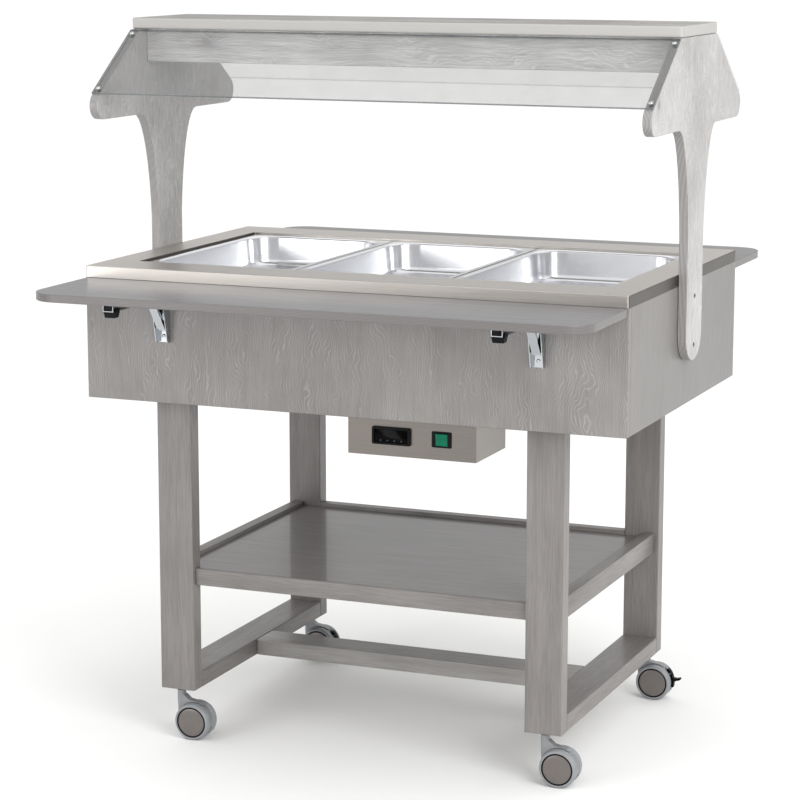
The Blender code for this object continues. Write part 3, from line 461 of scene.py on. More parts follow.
@dataclass(frozen=True)
class ClearSheet(Finish):
    """Cast acrylic, with its faces as they left the casting.

    It is see-through with a faint grey cast, and it mirrors the room most where the eye grazes it.
    """

    tint: str = "#EFEFEF"
    smeared: str = "#F0F0F0"
    edge_strength: float = 0.8
    edge: str = "#6F7475"  # painted shade: light runs along inside the sheet, so its sawn edges look darker than its faces, and this flat darker colour stands in for that
    mirror: float = 0.25
    smear_mm: float = 60.0

    def paint(self, tree: bpy.types.NodeTree, shader: bpy.types.Node) -> None:
        """Lays a thin gloss over a tinted clear body, with painted shade on the sawn edges."""
        coordinates = add(tree, "TexCoord")
        place = coordinates.outputs["Object"]
        smear = add(tree, "TexNoise", {"Vector": place, "Scale": per_metre(self.smear_mm), "Detail": 4.0,
                                       "Distortion": 0.8}).outputs["Fac"]
        rough = add(tree, "MapRange", {"Value": smear, "From Min": 0.4, "From Max": 0.8, "To Min": 0.02,
                                       "To Max": 0.07}).outputs[0]
        colour = add(tree, "Mix", {0: smear, 6: linear(self.tint), 7: linear(self.smeared)},
                     data_type="RGBA").outputs[2]
        fill(shader, tree, {"Base Color": linear(self.tint), "Roughness": rough, "Metallic": 1.0})
        body = add(tree, "BsdfTransparent", {"Color": colour})
        gloss = add(tree, "Fresnel", {"IOR": 1.49}).outputs[0]
        share = add(tree, "Math", {0: gloss, 1: self.mirror}, operation="MULTIPLY").outputs[0]
        both = add(tree, "MixShader", {0: share, 1: body.outputs[0], 2: shader.outputs[0]})
        # painted shade: the steep faces, which are the sheet's sawn edges, take a flat darker colour
        sawn = add(tree, "BsdfPrincipled", {"Base Color": linear(self.edge), "Roughness": 0.25, "IOR": 1.49})
        upright = add(tree, "SeparateXYZ", {0: coordinates.outputs["Normal"]}).outputs["Z"]
        steep = add(tree, "Math", {0: upright}, operation="ABSOLUTE").outputs[0]
        rim = add(tree, "MapRange", {"Value": steep, "From Min": 0.68, "From Max": 0.74,
                                     "To Min": self.edge_strength, "To Max": 0.0}).outputs[0]
        whole = add(tree, "MixShader", {0: rim, 1: both.outputs[0], 2: sawn.outputs[0]})
        tree.links.new(whole.outputs[0], tree.nodes["Material Output"].inputs["Surface"])


@dataclass(frozen=True)
class StudioFloor(Finish):
    """Matt painted board, sprayed, with the fine mottle that a spray leaves."""

    tone: str = "#F4F4F3"
    pale: str = "#F8F8F7"
    mottle_mm: float = 400.0

    def paint(self, tree: bpy.types.NodeTree, shader: bpy.types.Node) -> None:
        """Builds the mottle."""
        place = add(tree, "TexCoord").outputs["Object"]
        mottle = add(tree, "TexNoise", {"Vector": place, "Scale": per_metre(self.mottle_mm),
                                        "Detail": 2.0}).outputs["Fac"]
        colour = add(tree, "Mix", {0: mottle, 6: linear(self.tone), 7: linear(self.pale)},
                     data_type="RGBA").outputs[2]
        fill(shader, tree, {"Base Color": colour, "Roughness": 0.9, "Specular IOR Level": 0.1})


def timber(piece_name: str, grain: Axis, seed: float, knots: tuple[Point3, ...] = ()) -> StainedWood:
    """Returns the frame's solid birch: straight grain, grey stain."""
    return StainedWood(f"birch_grey_{piece_name}", grain=grain, seed=seed, knots=knots)


def plywood(piece_name: str, normal: Axis, seed: float, grain: Axis = Axis.Z) -> StainedWood:
    """Returns the cabinet's peeled birch plywood."""
    return StainedWood(f"birch_ply_{piece_name}", grain=grain, figure=Figure.ROTARY, edge_normal=normal, seed=seed,
                       light="#959290", dark="#625E5C", relief_mm=0.6,
                       fibre_tone=0.13, line_strength=0.55, banding=0.07)


# the deck's ends get the dark painted side tone as painted shade; the box's sides get a lighter one as painted light
DECK_STEEL = BrushedSteel("steel_brushed_deck", ends=0.9)
BOX_STEEL = BrushedSteel("steel_brushed_box", tone="#7D7874", dark="#716C68", roughness=0.34,
                         ends=0.9, painted_side_tone="#A39E9A")
TANK_STEEL = BrushedSteel("steel_rolled_tank", tone="#B4B2AE", dark="#8E8B86", roughness=0.42)
SHEATH_STEEL = BrushedSteel("steel_heat_tinted", tone="#7C6A5C", dark="#4E4238", roughness=0.45, scratch_mm=3.0)
PAN_STEEL = PolishedMetal("steel_polished_pan", tone="#E2E3E6", roughness=0.20, haze=0.06, wave_mm=70.0)
CHROME = PolishedMetal("chrome_plated_strut", tone="#B9BDC1", roughness=0.08, haze=0.06, wave_mm=20.0,
                       wave_depth_mm=0.02)
# A darker copy of the chrome plating, which is painted shade: on the tray arms it stands in for the shadow under the
# trays, and on the bolt heads it darkens the dome round its highlight.
SHADED_CHROME = PolishedMetal("chrome_plated_painted_shade", tone="#77797C", roughness=0.16, haze=0.08, wave_mm=20.0,
                            wave_depth_mm=0.02)
ZINC = PolishedMetal("zinc_plated_screw", tone="#C9CBCC", roughness=0.18, haze=0.10, wave_mm=6.0, wave_depth_mm=0.02)
BLACK_NYLON = MouldedPlastic("nylon_black_moulded")
BLACK_GLOSS = MouldedPlastic("polycarbonate_black_gloss", tone="#010102", worn="#030304", roughness=0.12,
                             grain_mm=6.0, grain_depth_mm=0.005, gloss=0.05)
DARK_KEY = MouldedPlastic("silicone_grey_key", tone="#2C2E31", worn="#3A3C40", roughness=0.5)
GREEN_LENS = MouldedPlastic("polycarbonate_green_lens", tone="#035F47", worn="#097A5C", roughness=0.16,
                            grain_mm=5.0, grain_depth_mm=0.01, gloss=0.15)
SILVER_NYLON = MouldedPlastic("nylon_silver_moulded", gloss=0.5, tone="#888A8C", worn="#96989A", roughness=0.38,
                              metallic=0.25)
SILVER_TREAD = MouldedPlastic("polyurethane_silver_tread", gloss=0.5, tone="#8C8F92", worn="#7A7D80", roughness=0.48,
                              grain_mm=1.2)
CAP_PAINT = MouldedPlastic("abs_pewter_painted_cap", gloss=0.5, tone="#6F6966", worn="#7C7673", roughness=0.34,
                           metallic=0.35, grain_mm=1.5, grain_depth_mm=0.02)


# ---- meshes ----
def to_mesh(bm: bmesh.types.BMesh, name: str, smooth_degrees: float | None = 35.0) -> bpy.types.Mesh:
    """Closes a bmesh into a mesh with outward faces.

    Args:
        bm: The bmesh, which is freed.
        name: The mesh's name.
        smooth_degrees: Edges sharper than this stay sharp; None leaves every face flat.

    Returns:
        The mesh.
    """
    bmesh.ops.recalc_face_normals(bm, faces=bm.faces)
    mesh = bpy.data.meshes.new(name)
    bm.to_mesh(mesh)
    bm.free()
    if smooth_degrees is not None:
        mesh.shade_smooth()
        mesh.set_sharp_from_angle(angle=math.radians(smooth_degrees))
    return mesh


def skin(loops: Sequence[Sequence[Point3]], closed: bool = False) -> bmesh.types.BMesh:
    """Joins loops of points into one skin.

    Args:
        loops: Loops with the same number of points each.
        closed: Joins the last loop to the first in place of capping both ends.

    Returns:
        A bmesh of the skin.
    """
    bm = bmesh.new()
    rows = [[bm.verts.new(point) for point in loop] for loop in loops]
    count = len(rows[0])
    pairs = list(zip(rows, rows[1:]))
    if closed:
        pairs.append((rows[-1], rows[0]))
    else:
        bm.faces.new(rows[0])
        bm.faces.new(rows[-1])
    for near, far in pairs:
        for i in range(count):
            j = (i + 1) % count
            bm.faces.new((near[i], near[j], far[j], far[i]))
    return bm


def circle(radius: float, height: float, steps: int, sides: int = 0) -> list[Point3]:
    """Points of a circle about Z, or of a polygon with the same number of points.

    Args:
        radius: The circle's radius, or the polygon's radius to its corners.
        height: Height of the loop.
        steps: Number of points.
        sides: Number of flat sides, or 0 for a circle.

    Returns:
        The points.
    """
    points = []
    for k in range(steps):
        turn = 2 * math.pi * k / steps
        reach = radius
        if sides:
            half = math.pi / sides
            reach = radius * math.cos(half) / math.cos((turn % (2 * half)) - half)
        points.append((reach * math.cos(turn), reach * math.sin(turn), height))
    return points


def turned(profile: Iterable[Point2], steps: int = 32) -> bmesh.types.BMesh:
    """Turns an open (radius, height) profile about Z and caps its ends."""
    return skin([circle(radius, height, steps) for radius, height in profile])


def turned_ring(profile: Iterable[Point2], steps: int = 32) -> bmesh.types.BMesh:
    """Turns a closed (radius, height) profile about Z."""
    return skin([circle(radius, height, steps) for radius, height in profile], closed=True)


def rounded_outline(half_x: float, half_y: float, radius: float, steps: int) -> list[Point2]:
    """Points of a rectangle with round corners, anticlockwise from its right-hand side."""
    points = []
    for k, (sx, sy) in enumerate(((1, 1), (-1, 1), (-1, -1), (1, -1))):
        for i in range(steps + 1):
            turn = (k + i / steps) * QUARTER
            points.append((sx * (half_x - radius) + radius * math.cos(turn),
                           sy * (half_y - radius) + radius * math.sin(turn)))
    return points


def stacked(rows: Iterable[tuple[float, float, float, float]], steps: int, closed: bool = False) -> bmesh.types.BMesh:
    """Joins rounded rectangles, one above the other, into one skin.

    Args:
        rows: Half width, half height, corner radius and height of each.
        steps: Number of steps round each corner.
        closed: Joins the last one to the first.

    Returns:
        A bmesh of the skin.
    """
    return skin([[(x, y, z) for x, y in rounded_outline(a, b, r, steps)] for a, b, r, z in rows], closed)


def board_mesh(low: Point3, high: Point3, edge: float, name: str) -> bpy.types.Mesh:
    """Makes a board with rounded edges.

    Args:
        low: Lowest corner.
        high: Highest corner.
        edge: Radius of the edges.
        name: The mesh's name.

    Returns:
        The mesh.
    """
    corners = [(low[0], low[1]), (high[0], low[1]), (high[0], high[1]), (low[0], high[1])]
    bm = skin([[(x, y, z) for x, y in corners] for z in (low[2], high[2])])
    bmesh.ops.recalc_face_normals(bm, faces=bm.faces)
    bmesh.ops.bevel(bm, geom=bm.edges[:], offset=edge, segments=3, profile=0.5, affect="EDGES")
    return to_mesh(bm, name, 40.0)


def facing(direction: Point3) -> Matrix:
    """Returns the turn that points a piece's +Z along a direction."""
    return Vector((0, 0, 1)).rotation_difference(Vector(direction).normalized()).to_matrix().to_4x4()


def set_down(name: str, mesh: bpy.types.Mesh, finish: Finish, body: str,
             place: Matrix | None = None) -> bpy.types.Object:
    """Makes a piece, puts it in place and lets it ride on its body.

    Args:
        name: The piece's name.
        mesh: Its mesh.
        finish: Its finish.
        body: The body that carries it.
        place: Where it goes; None leaves it as modelled.

    Returns:
        The piece.
    """
    made = bpy.data.objects.new(name, mesh)
    bpy.context.collection.objects.link(made)
    if not mesh.materials:
        mesh.materials.append(finish.material())
    if place is not None:
        made.matrix_world = place
    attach(made, body)
    log.info("%s rides on %s, %d faces, %s", name, body, len(mesh.polygons), finish.name)
    return made


def dress(node: str, finish: Finish) -> None:
    """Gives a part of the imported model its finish."""
    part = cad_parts[node]
    for slot in part.material_slots:
        slot.material = finish.material()
    log.info("%s dressed in %s", node, finish.name)


@dataclass(frozen=True)
class Screw:
    """A domed screw with a socket in its head. Its seat is at height 0 and its head points up."""

    radius: float = 4.0 * MM
    height: float = 2.4 * MM
    socket: float = 1.9 * MM
    sides: int = 6
    washer: float = 0.0  # radius of a washer under the head, or 0

    def mesh(self, name: str) -> bpy.types.Mesh:
        """Builds the head, its socket and its washer."""
        steps = 24
        base = 0.8 * MM if self.washer else 0.0
        loops = []
        if self.washer:
            loops += [circle(self.washer, 0.0, steps), circle(self.washer, base * 0.8, steps),
                      circle(self.washer - 0.2 * MM, base, steps), circle(self.radius, base, steps)]
        else:
            loops.append(circle(self.radius, 0.0, steps))
        for turn in (15, 35, 55, 72):
            a = math.radians(turn)
            loops.append(circle(self.radius * math.cos(a), base + self.height * math.sin(a), steps))
        top = base + self.height
        loops.append(circle(self.socket, top, steps, self.sides))
        loops.append(circle(self.socket * 0.95, top - self.height * 0.55, steps, self.sides))
        return to_mesh(skin(loops), name, 40.0)


# ---- sub-assemblies ----
class SubAssembly:
    """A group of parts that are made together: its own pieces are built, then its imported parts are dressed."""

    def build(self) -> None:
        """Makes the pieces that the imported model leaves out; some groups have none."""

    def dress(self) -> None:
        """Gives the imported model's parts their finishes; some groups have none."""


@dataclass
class TimberFrame(SubAssembly):
    """Legs, rails and stretcher of solid birch."""

    leg_seeds: tuple[float, ...] = (0.31, 1.17, 2.43, 3.71)
    rail_seeds: tuple[float, ...] = (4.09, 5.33)
    leg_knot: Point3 = (0.365, 0.2945, 0.600)

    def dress(self) -> None:
        """Gives each timber grain along its length."""
        for corner, seed in zip(CORNERS, self.leg_seeds):
            knots = (self.leg_knot,) if corner == "back_right" else ()
            dress(f"leg_{corner}", timber(f"leg_{corner}", Axis.Z, seed, knots))
        for side, seed in zip(SIDES, self.rail_seeds):
            dress(f"rail_bottom_{side}", timber(f"rail_{side}", Axis.Y, seed))
        dress("stretcher", replace(timber("stretcher", Axis.X, 6.21), light="#A6A3A1", dark="#7D7A77"))


@dataclass
class LowShelf(SubAssembly):
    """The lacquered shelf, its front strip and the lips of its frame."""

    lip_width: float = 25 * MM
    cross_width: float = 32 * MM
    edge: float = 1.2 * MM
    fit: float = 0.3 * MM  # gap between a board and a leg
    first_seed: float = 7.1
    panel_gap: float = 16.5 * MM  # the panel's thickness and its fit, under which the cross pieces lie

    def build(self) -> None:
        """Makes the frame's five pieces as separate boards."""
        low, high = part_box("shelf_frame")
        _, panel_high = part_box("shelf_panel")
        leg_low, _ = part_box("leg_back_right")
        side_end = leg_low.y - self.fit
        inner_x = leg_low.x - self.fit
        under = panel_high.z - self.panel_gap
        boards = {
            "lip_left": ((low.x, -side_end, low.z), (low.x + self.lip_width, side_end, high.z), Axis.Y),
            "lip_right": ((high.x - self.lip_width, -side_end, low.z), (high.x, side_end, high.z), Axis.Y),
            "lip_back": ((-inner_x, high.y - self.lip_width, low.z), (inner_x, high.y, high.z), Axis.X),
            "cross_front": ((-inner_x, low.y, low.z), (inner_x, low.y + self.cross_width, under), Axis.X),
            "cross_back": ((-inner_x, side_end - self.cross_width, low.z), (inner_x, side_end, under), Axis.X),
        }
        for number, (name, (start, end, grain)) in enumerate(boards.items()):
            mesh = board_mesh(start, end, self.edge, f"shelf_{name}")
            made = set_down(f"shelf_{name}", mesh, timber(f"shelf_{name}", grain, self.first_seed + number), "table")
            if name == "lip_back":
                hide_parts("shelf_frame")

    def dress(self) -> None:
        """Gives the panel its smooth lacquer and the strip its long grain."""
        dress("shelf_panel", StainedWood("birch_lacquered_shelf", grain=Axis.X, seed=12.4, light="#6C6866",
                                         dark="#595553", roughness=0.34, coat=0.45, coat_roughness=0.07, fibre_mm=3.0,
                                         fibre_length_mm=160.0))
        dress("shelf_front_edge", timber("shelf_strip", Axis.X, 13.3))


@dataclass
class Cabinet(SubAssembly):
    """The plywood box round the well."""

    seeds: dict[str, float] = field(default_factory=lambda: {"front": 20.3, "back": 21.9})

    def dress(self) -> None:
        """Gives the long panels their swirling veneer and the ends a straight one."""
        for name, seed in self.seeds.items():
            dress(f"cabinet_{name}", plywood(f"cabinet_{name}", Axis.Y, seed))
        for side, seed in (("left", 22.7), ("right", 23.1)):
            dress(f"cabinet_end_{side}", StainedWood(f"birch_ply_end_{side}", grain=Axis.Z, edge_normal=Axis.X,
                                                     seed=seed, light="#7E7B79", dark="#6D6A68", banding=0.06))
        dress("cabinet_floor", plywood("cabinet_floor", Axis.Z, 24.9, Axis.Y))


@dataclass
class Well(SubAssembly):
    """The stainless deck, the tank and heater under it, and the pans that hang in it."""

    flange: float = 12.5 * MM
    sheet: float = 0.9 * MM
    corner: float = 55 * MM
    flange_corner: float = 12 * MM
    lip: float = 4.5 * MM  # radius of the roll from the flange into the wall
    taper: float = 4 * MM
    foot: float = 15 * MM
    step: float = 1.6 * MM
    corner_steps: int = 14

    def row(self, half_x: float, half_y: float, radius: float, height: float) -> list[Point3]:
        """One level of a pan."""
        return [(x, y, height) for x, y in rounded_outline(half_x, half_y, radius, self.corner_steps)]

    def pan_mesh(self, half_x: float, half_y: float, depth: float) -> bpy.types.Mesh:
        """Makes a pressed pan with a rolled flange, tapering walls and a raised floor.

        Args:
            half_x: Half its width over the flange.
            half_y: Half its length over the flange.
            depth: Its height from the flange's top to the base.

        Returns:
            The mesh, with the flange's top at height 0.
        """
        body_x, body_y = half_x - self.flange, half_y - self.flange - 1 * MM
        taper, lip, floor = self.taper, self.lip, -depth + self.sheet

        def level(inset: float, height: float) -> list[Point3]:
            """One level of the pan's body, this far inside its outline."""
            return self.row(body_x - inset, body_y - inset, max(self.corner - inset, 6 * MM), height)

        def rim(inset: float, height: float) -> list[Point3]:
            """One level of the flange's edge, this far inside it."""
            return self.row(half_x - inset, half_y - inset, self.flange_corner, height)

        inside = [rim(4 * MM, 0.0)]
        for turn in (0, 25, 50, 75, 90):
            a = math.radians(turn)
            inside.append(level(self.sheet - lip + lip * math.sin(a), -lip * (1 - math.cos(a))))
        wall_end = self.sheet + taper
        for turn in (0, 18, 36, 54, 72, 90):
            a = math.radians(turn)
            inside.append(level(wall_end + self.foot * (1 - math.cos(a)), floor + self.foot * (1 - math.sin(a))))
        ledge = wall_end + self.foot
        inside += [level(ledge + 7 * MM, floor), level(ledge + 8.2 * MM, floor + self.step * 0.3),
                   level(ledge + 9.5 * MM, floor + self.step * 0.85), level(ledge + 11 * MM, floor + self.step)]
        outside = [rim(4 * MM, -self.sheet), level(-lip + 1 * MM, -self.sheet),
                   level(-0.4 * MM, -self.sheet - lip * 0.4), level(0.0, -self.sheet - lip)]
        for turn in (0, 30, 60, 90):
            a = math.radians(turn)
            outside.append(level(taper + self.foot * (1 - math.cos(a)), -depth + self.foot * (1 - math.sin(a))))
        edge = [rim(1.5 * MM, -0.1 * MM), rim(0.3 * MM, -0.7 * MM), rim(0.4 * MM, -1.3 * MM),
                rim(1.5 * MM, -1.4 * MM)]
        loops = list(reversed(inside)) + edge + outside
        return to_mesh(skin(loops), "pan_pressed", 50.0)

    def build(self) -> None:
        """Makes the three pans."""
        mesh = None
        for name in ("left", "middle", "right"):
            low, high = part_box(f"pan_{name}")
            if mesh is None:
                mesh = self.pan_mesh((high.x - low.x) / 2, (high.y - low.y) / 2, high.z - low.z)
            place = Matrix.Translation(((low.x + high.x) / 2, (low.y + high.y) / 2, high.z))
            made = set_down(f"pan_pressed_{name}", mesh, PAN_STEEL, f"{name}_pan", place)
            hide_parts(f"pan_{name}")

    def dress(self) -> None:
        """Brushes the deck along its length, with painted shade on its ends, and leaves the tank as rolled."""
        dress("deck", DECK_STEEL)
        dress("well_tank", TANK_STEEL)
        dress("heating_element", SHEATH_STEEL)


@dataclass
class Controls(SubAssembly):
    """The folded control box with its thermostat, rocker switch and cable gland."""

    bezel_width: float = 40 * MM
    bezel_height: float = 31 * MM
    bezel_depth: float = 2.4 * MM
    window_inset: float = 5 * MM
    window_share: float = 0.72  # the window's height as a share of its frame's
    thermostat_proud: float = 5.5 * MM
    keys: int = 4
    key_radius: float = 2.1 * MM
    key_pitch: float = 0.36  # as a share of the thermostat's half width
    tilt: float = math.radians(5)
    rocker_height: float = 664.5 * MM
    rocker_reach: float = 11.4 * MM  # from the rocker's middle to either end
    rocker_opening: float = 12.2 * MM
    rocker_proud: float = 3.4 * MM
    rocker_hollow: float = 1.2 * MM
    rocker_behind: float = 6 * MM
    gland_across: float = 12 * MM  # radius to the nut's corners
    cord_hole: float = 4.6 * MM

    def frame_ring(self, half_x: float, half_z: float, inner_x: float, inner_z: float, depth: float,
                   radius: float) -> bmesh.types.BMesh:
        """Makes a raised rectangular frame that faces up from height 0.

        Args:
            half_x: Outer half width.
            half_z: Outer half height.
            inner_x: Half width of its opening.
            inner_z: Half height of its opening.
            depth: How far it stands up.
            radius: Radius of its outer corners.

        Returns:
            The frame's bmesh.
        """
        inner_radius = max(radius * 0.4, 0.4 * MM)
        rows = ((half_x, half_z, radius, 0.0), (half_x, half_z, radius, depth * 0.6),
                (half_x - 0.3 * MM, half_z - 0.3 * MM, radius, depth * 0.88),
                (half_x - 0.9 * MM, half_z - 0.9 * MM, radius * 0.8, depth),
                (inner_x + 0.6 * MM, inner_z + 0.6 * MM, inner_radius, depth),
                (inner_x, inner_z, inner_radius, depth * 0.8), (inner_x, inner_z, inner_radius, 0.0))
        return stacked(rows, 5, closed=True)

    def build(self) -> None:
        """Makes the thermostat's front, the rocker and its bezel, and the cable gland's nut."""
        self.thermostat()
        self.rocker()
        self.gland()

    def thermostat(self) -> None:
        """Makes the thermostat's frame, window and keys."""
        low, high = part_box("thermostat")
        half_x, half_z = (high.x - low.x) / 2, (high.z - low.z) / 2
        centre = Vector(((low.x + high.x) / 2, low.y, (low.z + high.z) / 2))
        proud = self.thermostat_proud
        place = Matrix.Translation(centre + Vector((0, proud, 0))) @ Matrix.Rotation(QUARTER, 4, "X")
        inner_x, inner_z = half_x - self.window_inset, half_z - self.window_inset * 0.9
        ring = self.frame_ring(half_x, half_z, inner_x, inner_z, proud, 3 * MM)
        made = set_down("thermostat_frame", to_mesh(ring, "thermostat_frame", 50.0), BLACK_NYLON, "table",
                        place)
        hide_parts("thermostat")
        glass, bevel, corner = proud * self.window_share, 0.4 * MM, 0.8 * MM
        rows = ((inner_x, inner_z, corner, 0.2 * MM), (inner_x, inner_z, corner, proud * 0.66),
                (inner_x - bevel, inner_z - bevel, corner, glass))
        window = to_mesh(stacked(rows, 4), "thermostat_window")
        set_down("thermostat_window", window, BLACK_GLOSS, "table", place)
        key = turned([(self.key_radius, 0.0), (self.key_radius, 0.5 * MM), (self.key_radius * 0.8, 0.9 * MM),
                      (self.key_radius * 0.3, 1.0 * MM)], 20)
        key_mesh = to_mesh(key, "thermostat_key", 60.0)
        for number in range(self.keys):
            across = (number - (self.keys - 1) / 2) * half_x * self.key_pitch
            spot = place @ Matrix.Translation((across, -inner_z + 4 * MM, glass))
            set_down(f"thermostat_key_{number + 1}", key_mesh, DARK_KEY, "table", spot)

    def rocker(self) -> None:
        """Makes the lit rocker with its hollow face, and the bezel round it."""
        low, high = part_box("rocker")
        box_low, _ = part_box("control_box")
        centre_x, centre_z = (low.x + high.x) / 2, self.rocker_height
        half_x = (high.x - low.x) / 2
        face = Matrix.Translation((centre_x, box_low.y, centre_z)) @ Matrix.Rotation(QUARTER, 4, "X")
        ring = self.frame_ring(self.bezel_width / 2, self.bezel_height / 2, half_x + 0.5 * MM,
                               self.rocker_opening, self.bezel_depth, 2.2 * MM)
        set_down("rocker_bezel", to_mesh(ring, "rocker_bezel", 50.0), BLACK_NYLON, "table", face)
        steps, behind, bevel = 12, -self.rocker_behind, 0.5 * MM
        loops = []
        for k in range(steps + 1):
            share = -1 + 2 * k / steps
            hollow = self.rocker_proud - self.rocker_hollow * (1 - share * share)
            z = share * self.rocker_reach
            loops.append([(-half_x, z, behind), (half_x, z, behind), (half_x, z, hollow - bevel),
                          (half_x - bevel, z, hollow), (-half_x + bevel, z, hollow), (-half_x, z, hollow - bevel)])
        mesh = to_mesh(skin(loops), "rocker_lens", 30.0)
        made = set_down("rocker_lens", mesh, GREEN_LENS, "rocker",
                        face @ Matrix.Rotation(self.tilt, 4, "X"))
        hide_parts("rocker")

    def gland(self) -> None:
        """Makes the cable gland's nut and dome at the back of the box."""
        low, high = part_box("cable_gland")
        _, box_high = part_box("control_box")
        steps, base = 24, box_high.y
        place = Matrix.Translation(((low.x + high.x) / 2, base, (low.z + high.z) / 2))
        place = place @ Matrix.Rotation(-QUARTER, 4, "X")
        tall = high.y - base
        nut = [(self.gland_across, 0.3 * MM), (self.gland_across, 5.6 * MM)]
        dome = [(11 * MM, 6.2 * MM), (9.5 * MM, 6.4 * MM), (9.5 * MM, 8 * MM), (8.8 * MM, 13 * MM),
                (7 * MM, tall - 2 * MM), (5.4 * MM, tall), (self.cord_hole, tall), (self.cord_hole, 2 * MM)]
        loops = [circle(radius, height, steps, 6) for radius, height in nut]
        loops += [circle(radius, height, steps) for radius, height in dome]
        made = set_down("gland_nut", to_mesh(skin(loops), "gland_nut", 35.0), BLACK_NYLON, "table",
                        place)
        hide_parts("cable_gland")

    def dress(self) -> None:
        """Brushes the folded box, with painted light on its sides."""
        dress("control_box", BOX_STEEL)


@dataclass
class Canopy(SubAssembly):
    """The shaped supports, the top board, its fascias and the clear guards with their screws."""

    slope_top: Point2 = (121 * MM, 1415.7 * MM)
    slope_end: Point2 = (295 * MM, 1293 * MM)
    guard: float = 4.3 * MM  # the sheet and its fit
    screws_along: tuple[float, float] = (21 * MM, 198 * MM)
    bolt_heights: tuple[float, float] = (819 * MM, 915 * MM)
    bolt_seat: float = 1.5 * MM  # how deep the bolts' heads sit in the board
    head_knot: Point3 = (0.5783, -0.262, 1.300)
    fascia_knot: Point3 = (-0.425, -0.094, 1.390)

    def build(self) -> None:
        """Makes the guards' screws and the bolts of the supports."""
        low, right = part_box("support_right")
        middle = (right.x + low.x) / 2
        run = Vector((self.slope_end[0] - self.slope_top[0], self.slope_end[1] - self.slope_top[1])).normalized()
        screw = Screw(radius=3.6 * MM, height=2.0 * MM, socket=1.6 * MM, washer=4.8 * MM).mesh("guard_screw")
        for end, side_y in (("front", -1), ("back", 1)):
            for side, side_x in (("left", -1), ("right", 1)):
                for number, along in enumerate(self.screws_along):
                    out = self.slope_top[0] + run.x * along - run.y * self.guard
                    up = self.slope_top[1] + run.y * along + run.x * self.guard
                    place = Matrix.Translation((side_x * middle, side_y * out, up))
                    place = place @ facing((0, side_y * -run.y, run.x))
                    set_down(f"guard_screw_{end}_{side}_{number + 1}", screw, ZINC, "table", place)
        bolt = Screw(radius=6.2 * MM, height=3.0 * MM, socket=2.2 * MM).mesh("support_bolt")
        for side, side_x in (("left", -1), ("right", 1)):
            for number, height in enumerate(self.bolt_heights):
                place = Matrix.Translation((side_x * (right.x - self.bolt_seat), 0.0, height))
                place = place @ facing((side_x, 0, 0))
                # The bolt heads take the darker chrome: painted shade round their highlight.
                set_down(f"support_bolt_{side}_{number + 1}", bolt, SHADED_CHROME, "table", place)

    def dress(self) -> None:
        """Gives the canopy its lighter stain, the fascias a brightened tone that is painted light, and the guards
        their clear sheet.
        """
        for side, side_x, seed in (("left", -1, 30.2), ("right", 1, 31.6)):
            dress(f"support_{side}", StainedWood(f"birch_ply_support_{side}", grain=Axis.Z, edge_normal=Axis.X,
                                                 seed=seed, light="#C6C4C3", dark="#7D7B79", fibre_mm=2.4,
                                                 fibre_length_mm=26.0, banding=0.05, figure=Figure.ROTARY,
                                                 line_mm=6.0, line_strength=0.18, edge="#413E3B",
                                                 knots=((self.head_knot[0] * side_x, *self.head_knot[1:]),)))
        dress("canopy_board", StainedWood("birch_ply_canopy_board", grain=Axis.X, edge_normal=Axis.Z, seed=32.8,
                                          light="#B0AEAC", dark="#7C7977", edge="#B5B3B0", coat=0.0,
                                          roughness=0.85, sheen_level=0.08, figure=Figure.ROTARY,
                                          line_mm=6.0, line_strength=0.3))
        front_guard = ClearSheet("acrylic_clear_guard_front", tint="#E9E9E9", mirror=0.20)
        back_guard = ClearSheet("acrylic_clear_guard_back", tint="#FEFEFE", smeared="#FBFBFB", mirror=0.03,
                                edge_strength=0.25)
        for end, seed, guard in (("front", 33.9, front_guard), ("back", 34.4, back_guard)):
            # The fascias' light tone is pure white, brighter than the birch: painted light that makes up for the
            # shade of the guards in front of them.
            dress(f"fascia_{end}", StainedWood(f"birch_ply_fascia_{end}", grain=Axis.X, figure=Figure.ROTARY,
                                               edge_normal=Axis.Y, seed=seed, light="#FFFFFF", dark="#A6A4A3",
                                               knots=(self.fascia_knot,), line_strength=0.42, line_mm=6.0))
            dress(f"guard_{end}", guard)


